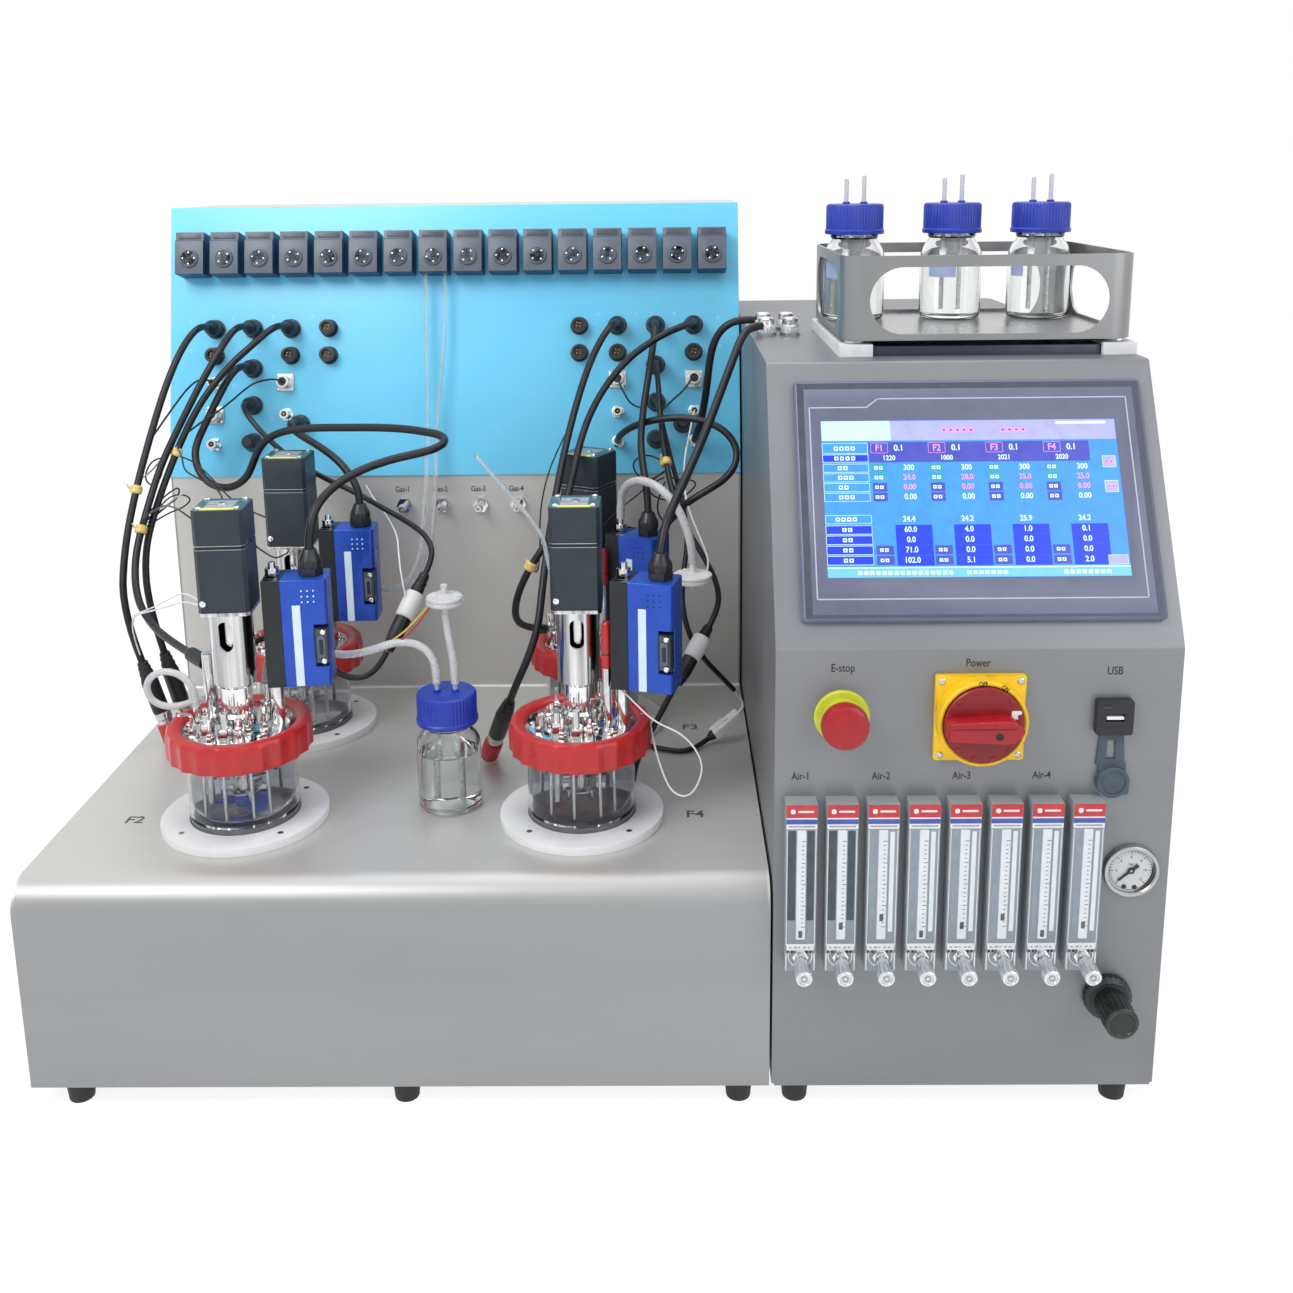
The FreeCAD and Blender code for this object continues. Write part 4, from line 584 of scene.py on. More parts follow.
def addFloor():
    mesh = bpy.data.meshes.new("floor")
    side = 6
    mesh.from_pydata([(-side, -side, 0), (side, -side, 0), (side, side, 0), (-side, side, 0)], [],
                     [(0, 1, 2, 3)])
    finish = bpy.data.materials.new("floorWhite")
    finish.use_nodes = True
    tree = finish.node_tree
    shader = tree.nodes["Principled BSDF"]
    shader.inputs["Roughness"].default_value = 0.8
    place = tree.nodes.new("ShaderNodeTexCoord")
    clouds = addNode(tree, "ShaderNodeTexNoise", Scale=2)
    tree.links.new(place.outputs["Object"], clouds.inputs["Vector"])
    tones = tree.nodes.new("ShaderNodeValToRGB")
    tones.color_ramp.elements[0].color = (0.93, 0.93, 0.93, 1)
    tones.color_ramp.elements[1].color = (0.96, 0.96, 0.96, 1)
    tree.links.new(clouds.outputs["Fac"], tones.inputs["Fac"])
    tree.links.new(tones.outputs["Color"], shader.inputs["Base Color"])
    glow = tree.nodes.new("ShaderNodeEmission")
    glow.inputs["Color"].default_value = (1, 1, 1, 1)
    glow.inputs["Strength"].default_value = 1.22
    pale = tree.nodes.new("ShaderNodeMixShader")  # white to the eye, with part of the shadow kept
    pale.inputs["Fac"].default_value = 0.7
    tree.links.new(shader.outputs[0], pale.inputs[1])
    tree.links.new(glow.outputs[0], pale.inputs[2])
    output = next(node for node in tree.nodes if node.type == "OUTPUT_MATERIAL")
    tree.links.new(whiteToCamera(tree, shader.outputs[0], pale.outputs[0]), output.inputs["Surface"])
    mesh.materials.append(finish)
    floor = bpy.data.objects.new("floor", mesh)
    bpy.context.scene.collection.objects.link(floor)


addCamera()
addLamps()
addWorld()
addFloor()
bpy.context.scene.view_settings.view_transform = "Standard"
print("camera, lamps and floor set")

# cords: each route is the tube's own points, in bench millimetres, with its length along the cord
powerCords = {
    "condenser_to_panel": {"length": 659, "points": [
        (88, 421.8, 550.1), (87.5, 402, 554.5), (82, 384, 548), (72, 374, 528.5), (61, 366, 505),
        (49.4, 358, 480.2), (50.6, 350.5, 465.6), (57.8, 342.5, 452.9), (69.7, 336, 444.4),
        (84.1, 331, 441.7), (98.2, 328, 445.4), (109.5, 327.2, 454.7), (115.8, 327, 467.9),
        (123, 326.6, 483.5), (135, 325, 495), (154, 321, 502), (183, 313, 505.5), (217, 299, 508),
        (252, 282, 511), (280, 268, 512), (301, 257, 511), (314, 249, 510), (321, 237, 508),
        (321, 223, 506), (314, 211, 504), (302, 204, 502), (282, 194, 499.5), (260, 178, 495),
        (241, 158, 487), (228, 137, 475), (222.5, 125, 457), (221.7, 123.1, 438)]},
    "panel_to_condenser": {"length": 160, "points": [
        (138, 407.5, 492.8), (138.2, 389, 497.4), (143, 371, 495), (157, 357, 489), (177, 345, 481),
        (198, 334, 469), (213, 325, 453), (220, 319.8, 440), (220.6, 318.3, 428)]},
    "roof_to_condenser": {"length": 276, "points": [
        (610.7, 286.7, 603), (600.5, 275, 603.5), (591, 259, 596), (583, 241, 580), (570, 213, 553),
        (557, 184, 526), (543, 154, 501), (529, 124, 478), (518.5, 102, 459), (515.8, 96, 440)]},
    "roof_to_panel": {"length": 184, "points": [
        (608.5, 336, 603), (593.7, 336.2, 603.6), (579.5, 337.5, 597.5), (569.5, 341, 583.5),
        (565, 347, 562), (563, 357, 536), (559.5, 371, 508), (555.5, 386, 487), (552.7, 398, 477.5),
        (552, 409.2, 470.7)]},
}
probeCables = {
    "left_outer": {"length": 381, "end": "plug", "points": [
        (48, 431.9, 590.8), (47.5, 411.9, 594.5), (43, 391.5, 589), (34, 375, 570), (23, 359, 538),
        (12, 341, 495), (2, 320, 448), (-5, 293, 392), (-3, 269, 336), (12.4, 267.7, 285)]},
    "left_middle": {"length": 457, "end": "plug", "points": [
        (88, 431.9, 590.8), (87.5, 411.9, 594.5), (83, 391.5, 589.5), (73, 376, 570), (58, 365, 543),
        (38, 350, 502), (21, 335, 464), (12, 313, 424), (7, 287, 386), (16, 259, 355), (38, 229, 339),
        (68, 194, 334), (98.1, 162.4, 333)]},
    "left_inner": {"length": 399, "end": "plug", "points": [
        (128, 431.9, 590.8), (127.5, 411.9, 594.5), (121, 392.5, 591), (106, 381, 577), (84, 374, 558),
        (60, 362, 528), (42, 351, 494), (29, 341, 462), (18, 326, 428), (9, 306, 385), (16, 286, 336),
        (26, 290, 286.3)]},
    "right_probe": {"length": 458, "end": "plug", "points": [
        (472, 431.9, 590.8), (471.5, 411.9, 594.5), (464, 393, 589), (453, 378, 572), (443, 360, 549),
        (434, 336, 521), (427, 308, 494), (422, 280, 470), (418, 250, 446), (414, 219, 417),
        (410, 194, 384), (407, 174, 350), (397, 166, 322), (386, 173, 297.5), (377.8, 186.2, 275.5)]},
    "right_arc": {"length": 459, "end": "plug", "points": [
        (552, 431.9, 590.8), (551, 411.9, 594.5), (542, 392, 592), (526, 376, 588), (507, 365, 579),
        (485, 355, 564), (464, 341, 541), (448, 321, 515), (439, 297, 490), (434, 270, 466),
        (428, 251, 441), (415, 240, 415), (397, 235, 391), (383, 237, 363), (377, 249, 337),
        (381, 266, 319), (392, 284, 311)]},
    "right_straight": {"length": 238, "points": [
        (512, 431.9, 590.8), (512, 412.5, 593.5), (511.5, 395, 585), (509, 382, 568), (505, 369, 545),
        (500, 352, 517), (497, 332, 491), (498, 312, 474), (501, 295, 459), (503.5, 284, 444),
        (504.2, 279.7, 427)]},
    "right_loop": {"length": 419, "points": [
        (472, 409.2, 470.7), (472.5, 391, 476), (477, 375, 485), (488, 360, 495), (506, 348, 503),
        (530, 339, 508), (555, 332, 507), (577, 325, 499), (590, 318, 484), (590, 311, 467),
        (579, 305, 453), (561, 300, 443), (543, 301, 432), (527, 308, 415), (513, 320, 391),
        (501, 332, 374), (487, 342, 364), (473, 346.5, 357), (464, 345.2, 344), (462.6, 344.7, 327),
        (462.5, 344.6, 311)]},
}
signalLeads = {
    "lead_left": {"length": 331, "end": "connector", "points": [
        (88, 412.3, 512.2), (88.2, 395.5, 516.3), (95, 378, 511), (108, 368, 498), (125, 363, 481),
        (146, 360, 464), (174, 357, 447), (208, 350, 433), (240, 333, 420), (270, 310, 411),
        (292, 288, 402), (300, 269, 388), (293, 258, 374)]},
    "lead_left_end": {"length": 183, "points": [
        (263.7, 212, 315.4), (257.9, 202.8, 303.8), (246, 193, 296), (231, 186, 299), (218, 180, 311),
        (206, 174, 327), (192, 168, 341), (177, 162, 348), (162, 156.5, 347), (152.5, 151.5, 337),
        (148.7, 149, 324), (148.3, 148.5, 311)]},
    "lead_right": {"length": 321, "end": "connector", "points": [
        (512, 421.8, 550.1), (512, 404.7, 554.1), (513.5, 386, 548), (515, 375, 530), (516.5, 364, 506),
        (519, 347, 481), (523, 322, 458), (529, 295, 436), (540, 272, 413), (556, 258, 390),
        (569, 249, 365), (570, 238, 345), (560, 227, 331)]},
    "lead_right_end": {"length": 98, "points": [
        (529.6, 193.6, 288.5), (521.5, 184.7, 277.2), (513, 177.5, 263), (504, 172, 248), (496, 168.5, 232),
        (490.5, 167, 218), (489, 167, 205.7)]},
    "lead_low": {"length": 371, "thick": 5, "end": "bare", "points": [
        (512, 412.3, 512.2), (512.2, 395.5, 516.3), (515, 377.5, 510), (519, 366, 494), (524, 354, 473),
        (531, 338, 449), (539, 314, 422), (542, 287, 396), (537, 262, 373), (535, 242, 348),
        (541, 231, 322), (554, 238, 297), (569.5, 254, 274), (585.5, 270, 251)]},
    "lead_low_end": {"length": 83, "thick": 5, "points": [
        (561, 262, 204.5), (553, 253.8, 202.3), (544, 244.8, 201), (532.5, 240.3, 200.9), (521, 243.5, 201),
        (504, 252, 200.8), (493.3, 263.9, 201)]},
    "lead_low_wires": {"length": 30, "thick": 3, "end": "connector", "finish": "whitePlastic", "points": [
        (585.5, 270, 251), (588.3, 272.9, 246.1), (593.5, 275, 238.5), (595.6, 275.2, 230.4),
        (590.3, 272.7, 226.2)]},
}
siliconeTubes = {
    "bottle_tube": {"length": 201, "points": [
        (320, 143, 310), (320, 143, 325), (314.5, 143.2, 339.5), (302, 143.6, 347.5), (284, 144.5, 347.5),
        (262, 146, 339), (240, 149, 334), (220, 151.5, 337), (203, 152, 343), (188.5, 150, 344),
        (177, 147, 337.5), (170.9, 145, 325), (170.5, 144.6, 311.5)]},
    "vent_tube": {"length": 64, "end": "fitting", "points": [
        (336, 143, 310), (335.7, 143, 331), (332, 143, 353), (330, 143, 374)]},
    "pump_tube": {"length": 444, "thick": 4.5, "finish": "tubeClear", "points": [
        (272.5, 451.4, 642.2), (272.5, 442, 604), (273, 430, 560), (275, 416, 518), (276, 402, 478),
        (275, 384, 440), (275, 361, 402), (273, 343, 366), (262, 334, 344), (243, 336, 333),
        (222, 345, 334), (203, 350, 341), (188.5, 350, 344.5), (177, 347.5, 338), (170.7, 344.8, 325),
        (170.5, 344.6, 311)]},
    "pump_tube_beside": {"length": 479, "thick": 4.5, "finish": "tubeClear", "points": [
        (292.5, 451.4, 642.2), (292.5, 442, 604), (291, 430, 560), (286, 418, 518), (284, 405, 478),
        (284, 388, 440), (284, 369, 402), (281, 353, 364), (268, 347, 338), (246, 352, 327),
        (222, 361, 328), (199, 366, 337), (179, 364, 346), (163, 358, 346), (153, 351.5, 336),
        (149, 349, 324), (148.3, 348.5, 311)]},
    "exhaust_tube": {"length": 167, "thick": 8, "end": "fitting", "points": [
        (477.4, 296.4, 417), (477.4, 296, 434), (481, 289, 449), (489, 277, 458), (500, 264, 462),
        (513, 253, 459), (525, 244.5, 450), (535, 237.5, 436), (541.5, 232, 418), (544.6, 228.4, 404),
        (545, 228, 392)]},
    "sample_tube": {"length": 132, "thick": 6, "points": [
        (116.4, 121.3, 300), (116.2, 121.4, 311.5), (111, 121.8, 322.5), (101, 122.5, 329.5),
        (89, 123.5, 330.5), (78, 125, 325.5), (72, 127, 315), (74, 129, 303), (83.5, 131, 295.5),
        (96, 132.8, 294.5), (108.5, 134.3, 298), (119.8, 135, 301)]},
}
thinWires = {
    "white_loop": {"finish": "wireWhite", "points": [
        (470.5, 98, 340), (471, 97, 331), (480, 95, 325), (490.7, 92, 314.9), (509.3, 84, 298.3),
        (532.4, 80, 289.9), (546.1, 78, 273.4), (550, 76, 256.8), (539, 76, 234), (523, 80, 236.5),
        (513.5, 90, 258), (508, 104, 274.5), (505.6, 120, 284), (498, 122, 290)]},
    "white_to_motor": {"finish": "wireWhite", "points": [
        (133.2, 100, 397), (124, 112, 395), (110.9, 130, 390.5), (84.9, 160, 376.7), (51.4, 200, 358.4),
        (19.7, 240, 341.7), (12, 252, 320), (12.4, 265, 293)]},
    "white_to_joint": {"finish": "wireWhite", "points": [
        (206, 414.5, 424), (211, 402, 423), (219, 384, 419), (243, 340, 409), (260, 300, 401),
        (268, 262, 395), (274, 238, 380), (279, 235, 352)]},
    "coax_outer": {"thick": 2, "points": [
        (48, 422.9, 534.3), (47, 412, 540), (37, 396, 538), (22, 362, 510), (13, 342, 492)]},
    "coax_inner": {"thick": 2, "points": [
        (122, 422.9, 534.3), (121.5, 410, 539), (110, 394, 540), (99, 385, 536), (79, 365, 517),
        (53, 350, 501), (41, 349.5, 491)]},
    "coax_right": {"thick": 2, "points": [
        (552, 422.9, 534.3), (551, 407, 539), (541, 392, 526), (525, 380, 515), (516.5, 366, 508)]},
    "coax_middle": {"thick": 2, "points": [
        (472, 422.9, 534.3), (472.5, 408, 537), (478, 395, 526), (488, 378, 512), (499, 353, 515)]},
    "grey_to_filter": {"finish": "wireWhite", "thick": 2, "points": [
        (552, 414.7, 501.3), (551, 402, 502), (547, 390, 486), (538, 340, 456), (541, 300, 428),
        (556, 268, 398), (562, 248, 384), (557, 235, 379.5)]},
    "sensor_lead": {"finish": "wireYellow", "points": [
        (319, 142, 384), (308, 142, 372), (295, 144, 358), (280, 150, 346), (268, 172, 334),
        (264.5, 205, 317)]},
    "front_motor_wire": {"points": [
        (37, 347, 481), (48, 318, 488), (72, 245, 502), (95, 196, 503), (101, 180, 493.7),
        (120.7, 160, 490.8), (136, 150, 487), (147, 141, 480), (148, 137.2, 470)]},
    "front_side_wire": {"points": [
        (9, 303, 413), (18, 292, 424), (45, 260, 440), (75, 200, 458), (104, 150, 467), (120, 134, 463),
        (132.8, 125, 458)]},
    "back_motor_wire": {"points": [
        (33, 345, 473), (50, 341, 470), (72, 330, 454), (92, 321, 434), (112, 318, 421),
        (132.8, 316, 414)]},
    "between_motors": {"points": [
        (175.2, 117, 449), (173, 136, 437), (167.7, 165, 426), (158, 225, 402), (151.2, 270, 387),
        (152, 302, 384)]},
    "clear_stub": {"finish": "tubeClear", "thick": 4, "end": "bare", "points": [
        (424.8, 128, 408), (418, 160, 415), (410, 215, 420), (397, 250, 427), (377, 280, 441),
        (352, 310, 459), (335, 330, 473)]},
    "beside_front_motor": {"points": [
        (420, 417.5, 482), (417, 402, 478), (403, 352, 450), (397, 320, 418), (400, 285, 391),
        (400, 250, 372), (396, 236, 386)]},
    "right_motor_wire": {"points": [
        (522, 327, 458), (513, 330, 451), (495, 325, 434), (477, 320, 422), (462, 300, 411),
        (456, 294.6, 405)]},
}
wireLoops = {  # short loops and second wires beside a declared one
    "white_beside": {"finish": "wireWhite", "thick": 1.3, "points": [
        (133.2, 101, 401), (122, 114, 402), (105, 136, 396), (80, 166, 379), (49, 203, 359), (21, 239, 343),
        (13, 252, 330), (7, 266, 316)]},
    "sensor_beside": {"finish": "wireRed", "points": [
        (319.5, 140, 383), (309, 139, 368), (296, 141, 354), (281, 148, 343), (270, 172, 331),
        (266, 205, 316)]},
    "loop_upper": {"points": [
        (26, 343, 471), (14, 340, 472), (3, 340, 456), (4, 340, 446), (12, 341, 442), (21, 341, 456),
        (19, 341, 468), (25, 340, 466)]},
    "loop_middle": {"points": [
        (10, 312, 418), (14, 338, 426), (27, 340, 437), (37, 340, 442), (34, 340, 430), (23, 340, 423),
        (12, 315, 412)]},
    "loop_lower": {"points": [
        (9, 303, 411), (17, 330, 422), (27, 340, 433), (41, 340, 434), (48, 340, 428), (36, 340, 419),
        (24, 336, 416), (10, 306, 408)]},
    "loop_behind": {"points": [
        (520, 330, 455), (504.1, 332, 443.4), (492, 333, 452), (488, 333, 464), (500.3, 332, 473),
        (516, 331, 468), (526, 330, 456), (522, 329, 450)]},
    "loop_right": {"points": [
        (523, 328, 453), (527, 330, 447.4), (548.3, 331, 447), (552, 331, 440.1), (532, 331, 424),
        (512.3, 330, 428), (503, 329, 437), (510, 328, 446), (520, 327, 450)]},
    "loop_low_right": {"points": [
        (524, 320, 452), (534, 322, 436), (537, 322, 418), (526, 318, 404), (514, 316, 412),
        (512, 316, 430), (521, 320, 448)]},
    "twist_upper": {"finish": "satinSteel", "thick": 1.8, "end": "bare", "points": [
        (25, 346, 476), (21, 340, 470), (11, 339, 459), (2, 338, 452), (-5, 338, 449)]},
    "twist_lower": {"finish": "satinSteel", "thick": 1.8, "end": "bare", "points": [
        (9, 302, 412), (14, 325, 417), (24, 338, 424), (36, 340, 434), (43, 340, 436)]},
}
cordTies = {  # where each yellow tie stands: the cord, a point, and the next point along it
    "left_inner": ((34.5, 346, 476), (29, 341, 462)), "left_outer": ((1.5, 319, 444), (-5, 293, 392)),
    "left_middle": ((9.6, 302, 408), (7, 287, 386)), "lead_right": ((521.3, 330, 464.5), (523, 322, 458)),
    "right_arc": ((395.5, 235.6, 388), (383, 237, 363)),
}


tieLook = {
    "knot": [(0, -4.2), (4.4, -4.2), (5.6, -3), (5.9, -1), (5.5, 0), (5.9, 1.2), (5.5, 3.2), (4.3, 4.2),
             (0, 4.2)],
    "tail": [(5, 0, 0), (8, 1.2, 1.2), (9.5, 3, 3)], "thin": 0.9, "turn": 0.7,
}


# A smooth NURBS line with the route's points as its control points, as thick as the cord.
def cordCurve(name, points, thick, finish):
    curve = bpy.data.curves.new(name, "CURVE")
    curve.dimensions = "3D"
    curve.bevel_depth = thick / 2000
    curve.bevel_resolution = 3
    curve.use_fill_caps = True
    line = curve.splines.new("NURBS")
    line.points.add(len(points) - 1)
    route = np.hstack([toRow(points), np.ones((len(points), 1))])
    line.points.foreach_set("co", route.ravel())
    line.order_u = 3
    line.use_endpoint_u = True
    line.resolution_u = 6
    curve.materials.append(finishes[finish])
    piece = bpy.data.objects.new(name, curve)
    bpy.context.scene.collection.objects.link(piece)
    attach(piece, "root")
    return piece


def addTies():
    tie = [turnedShape(tieLook["knot"], "tieYellow", 32),
           barShape(tieLook["tail"], tieLook["thin"], "tieYellow", (0, 0, 1), 10)]
    made = {}
    for name, (here, ahead) in cordTies.items():
        stand = alongRun([ahead, here]) @ placed(turn=tieLook["turn"])
        made[name] = addPiece("tie_" + name, copies(tie, [stand]))
    return made


def addCords(cords, thick, finish, node):
    for name, cord in cords.items():
        width = cord.get("thick", thick)
        piece = cordCurve(name, cord["points"], width, cord.get("finish", finish))
        if node:
            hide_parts(node)


# sheet metal and the pieces that keep their solid's shape
plainPieces = {
    "base_shell": ("deckSteel", "stainless", 0), "base_sides": ("deckSteel", "stainless", 0),
    "base_tray": ("deckSteel", "stainless", 0), "cabinet_shell": ("cabinetSteel", "stainless", 0),
    "cabinet_sides": ("cabinetSteel", "stainless", 0), "cabinet_tray": ("cabinetSteel", "stainless", 0),
    "pump_panel": ("bluePaint", "blue_paint", 0.6), "rubber_feet": ("footRubber", "foot_rubber", 0.5),
    "screen_bezel": ("bezelGrey", "screen_frame", 0.4), "flow_meters": ("meterBody", "clear_acrylic", 0.3),
    "meter_floats": ("darkSteel", "float_steel", 0), "usb_socket": ("socketBlack", "socket_black", 0.5),
    "usb_cap": ("rubberGrey", "foot_rubber", 0.5), "bottle_rack": ("rackSteel", "rack_metal", 0),
    "condenser_housings": ("condenserBlue", "condenser_blue", 0.7),
    "condenser_sinks": ("sinkBlack", "sink_aluminium", 0),
    "cable_sockets": ("socketBlack", "socket_black", 0),
    "coax_sockets": ("satinSteel", "gauge_steel", 0), "gas_barbs": ("polishedSteel", "polished_steel", 0),
    "vessel_flanges": ("flangeWhite", "flange_white", 0.8),
    "heater_discs": ("heaterPlate", "heater_aluminium", 0),
    "head_plates": ("polishedSteel", "polished_steel", 0.3),
    "head_fittings": ("polishedSteel", "polished_steel", 0.3),
    "coupling_housings": ("tubeSteel", "polished_steel", 0.3),
    "stirrer_motors": ("motorBlack", "motor_black", 0.4), "bottle_tubes": ("siliconeMilk", "tube_clear", 0),
    "switch_plate": ("signYellow", "switch_yellow", 0.4),
    "regulator_body": ("socketBlack", "regulator_metal", 0.4),
    "screen_glass": ("screenBlue", "screen_face", 0),
}
# the steel sheets get their painted light share here; on base_shell everything behind the front bend takes
# the lighter painted deck tone
for node, (finish, slot, bevel) in plainPieces.items():
    dressed(node, finish, bevel, pale=26 if node == "base_shell" else 0)
# painted shade: the pump heads' sides and undersides take a darker navy than their grey fronts
dressed("pump_heads", "pumpBlue", 0.4,
        facing=((0, -math.cos(bench["panelLean"]), math.sin(bench["panelLean"])), "pumpGrey"))
movingPieces = {"gauge_needle": ("printBlack", "needle_black")}
movingPieces.update({"agitator_%d" % number: ("polishedSteel", "polished_steel") for number in range(1, 5)})
for node, (finish, slot) in movingPieces.items():
    dressed(node, finish, 0.3, body=node)
print("solids dressed:", len(plainPieces) + len(movingPieces) + 1)


def copies(shapes, matrices):
    return [moved(shape, matrix) for matrix in matrices for shape in shapes]


# a disc or pin in the front view: radius, from, to
def roundShape(radius, bottom, top, finish, turns=24, edge=0):
    rim = [(radius, top - edge), (radius - edge, top)] if edge else [(radius, top)]
    return turnedShape([(0, bottom), (radius, bottom)] + rim + [(0, top)], finish, turns)


# a plate from its left, right, low and high edges
def plateShape(left, right, low, high, bottom, top, finish, corner=0.3, edge=0):
    outline = roundRectangle(right - left, high - low, corner, (left + right) / 2, (low + high) / 2, 3)
    return raisedShape(outline, bottom, top, finish, edge)


# a round bar along a flat bent path: each ring of points stands square to the path's run
def barShape(path, radius, finish, across, sides=12):
    path = np.asarray(path, float)
    run = np.gradient(path, axis=0)
    run /= np.linalg.norm(run, axis=1)[:, None]
    across = np.asarray(across, float) / np.linalg.norm(across)
    other = np.cross(run, across)
    angle = 2 * math.pi * np.arange(sides) / sides
    circle = np.cos(angle)[:, None] * other[:, None] + np.sin(angle)[:, None] * across
    rings = path[:, None] + radius * circle
    points = np.vstack([rings.reshape(-1, 3), path[:1], path[-1:]])
    last = (len(path) - 1) * sides
    faces = [face[::-1] for face in gridFaces(len(path), sides)]
    faces += [[len(points) - 2, step, (step + 1) % sides] for step in range(sides)]
    faces += [[len(points) - 1, last + (step + 1) % sides, last + step] for step in range(sides)]
    return shapeOf(points, faces, finish)


# clamp rings: radius 61 at the ridges, 1.9 less in each of the 22 shallow grips between them
clampRing = {"grips": 22, "notch": 1.9, "narrow": 0.6, "profile": [
    (54, 264), (59.6, 264, 1), (60.8, 264.8, 1), (61, 266.5, 1), (61, 282.6, 1), (60.4, 286.4, 0.5),
    (58.8, 288.6, 0.2), (56.4, 289.5, 0.1), (54, 289.5), (50.6, 288.8), (48, 287.3), (47, 285.9),
    (47, 284.5), (54, 284.5)]}
glassJar = {
    "wall": [(43, 210.8), (46, 210.2), (46, 258), (46.6, 261.5), (49, 264.2), (53, 266), (53.6, 268),
             (53.6, 279.5), (43, 279.5)],
    "foot": [(0, 201), (42.4, 201), (44.8, 201.8), (45.8, 203.6), (46, 206), (46, 209.8), (44, 210.6),
             (40, 209.6), (0, 209.6)],
    "broth": [(0, 210.6), (30.8, 210.6), (36.6, 212), (41, 216.3), (42.4, 224), (42.4, 254), (0, 254)],
    "rods": (-128, -96, -62, -40, 60, 150), "rodRing": 37,
    "rod": [(0, 214), (1.2, 214.4), (1.6, 216), (1.6, 284), (0, 284)],
}


def addVesselBodies():
    ring = [turnedShape(clampRing["profile"], "ringRed", 220, clampRing["grips"], clampRing["notch"],
                        clampRing["narrow"], loop=True)]
    jar = [turnedShape(glassJar["wall"], "vesselGlass", 96, loop=True),
           turnedShape(glassJar["foot"], "glassFoot", 96)]
    broth = [turnedShape(glassJar["broth"], "vesselHaze", 96)]
    rod = [turnedShape(glassJar["rod"], "chrome", 16)]
    # a steel screw head whose cross slot is a dark raised cross, painted shade for the recess
    screw = discs((2.6, -1, 0.15, "satinSteel", 20)) + plates(
        (-1.7, 1.7, -0.4, 0.4, 0.1, 0.2, "slotDark", 0.2),
        (-0.4, 0.4, -1.7, 1.7, 0.1, 0.2, "slotDark", 0.2))
    broths = []
    screws = []
    for x, y in vesselAxes:
        broths += copies(broth, [placed(x, y)])
        broths += copies(rod, [onRing(x, y, glassJar["rodRing"], math.radians(angle))
                               for angle in glassJar["rods"]])
        screws += copies(screw, [onRing(x, y, 59, math.pi / 4 + quarter * math.pi / 2, 205.7)
                                 for quarter in range(4)])
    stands = [placed(x, y) for x, y in vesselAxes]
    addPiece("clamp_rings_turned", copies(ring, stands), instead="clamp_rings")
    addPiece("vessel_jars", copies(jar, stands), instead="vessel_glasses")
    addPiece("vessel_broths", broths)
    addPiece("flange_screws", screws)


# a curved blade of the blue stirrer: height climbs with the angle, chord widest half way out
blueStirrer = {
    "inner": 5, "outer": 31, "middle": 219.5, "climb": 10, "sweep": math.radians(52), "thick": 2.2,
    "turns": (-40, 80, 200), "grid": (14, 12),
    "hub": [(0, 213), (6.5, 213), (7.5, 214.5), (7.5, 226), (6.5, 228), (0, 228)],
}


def addBlueStirrer():
    rows, columns = blueStirrer["grid"]
    share, chord = np.meshgrid(np.linspace(0, 1, rows), np.linspace(-0.5, 0.5, columns), indexing="ij")
    radius = blueStirrer["inner"] + share * (blueStirrer["outer"] - blueStirrer["inner"])
    width = np.sqrt(np.clip(1 - (2 * share - 0.9) ** 2, 0.06, 1))
    angle = chord * blueStirrer["sweep"] * width
    height = blueStirrer["middle"] + chord * blueStirrer["climb"] * width
    # a blade's faces: its upper side, its under side and the strip round its rim
    count = rows * columns
    index = np.arange(count).reshape(rows, columns)
    upper = np.stack([index[:-1, :-1], index[1:, :-1], index[1:, 1:], index[:-1, 1:]], -1)
    upper = upper.reshape(-1, 4)
    rim = np.concatenate([index[0, :-1], index[:-1, -1], index[-1, :0:-1], index[:0:-1, 0]])
    ahead = np.roll(rim, -1)
    sides = np.stack([rim, ahead, ahead + count, rim + count], -1)
    faces = upper.tolist() + (upper[:, ::-1] + count).tolist() + sides.tolist()
    shapes = [turnedShape(blueStirrer["hub"], "impellerBlue", 32)]
    thick = blueStirrer["thick"]
    for turn in np.radians(blueStirrer["turns"]):
        top = np.stack([radius * np.cos(angle + turn), radius * np.sin(angle + turn), height + thick / 2],
                       -1)
        points = np.vstack([top.reshape(-1, 3), (top - (0, 0, thick)).reshape(-1, 3)])
        shapes.append(shapeOf(points, faces, "impellerBlue"))
    x, y = vesselAxes[1]
    addPiece("blue_stirrer", [moved(shape, placed(x, y)) for shape in shapes], body="agitator_2")


# head plates: what stands among the ports, as (angle, ring, kind) in degrees and millimetres about each axis
headExtras = {
    "plateTop": 286, "screwRing": 40.8, "scale": (0.9, 0.9, 0.68, 1),
    "small": [(22, 38, "blind"), (128, 36, "tube"), (196, 27, "knurl"), (212, 39, "bent"),
              (254, 22, "blind"), (287, 34, "knurl"), (305, 24, "tube"), (318, 39, "blind"),
              (340, 26, "bent"), (82, 21, "tube"), (148, 22, "blind"), (252, 40, "tube")],
    # a turned collar where the stirrer tube meets the plate, a ring under the housing, the sleeve between
    "collars": [("chrome", [(11.2, 293), (15.2, 293), (15.2, 296), (13.4, 298.5), (11.2, 299)]),
                ("polishedSteel", [(10.9, 321), (13, 321), (14.4, 325.2), (10.9, 325.2)]),
                ("chrome", [(11.1, 297), (13, 298), (13, 321.5), (11.1, 321.5)])],
}


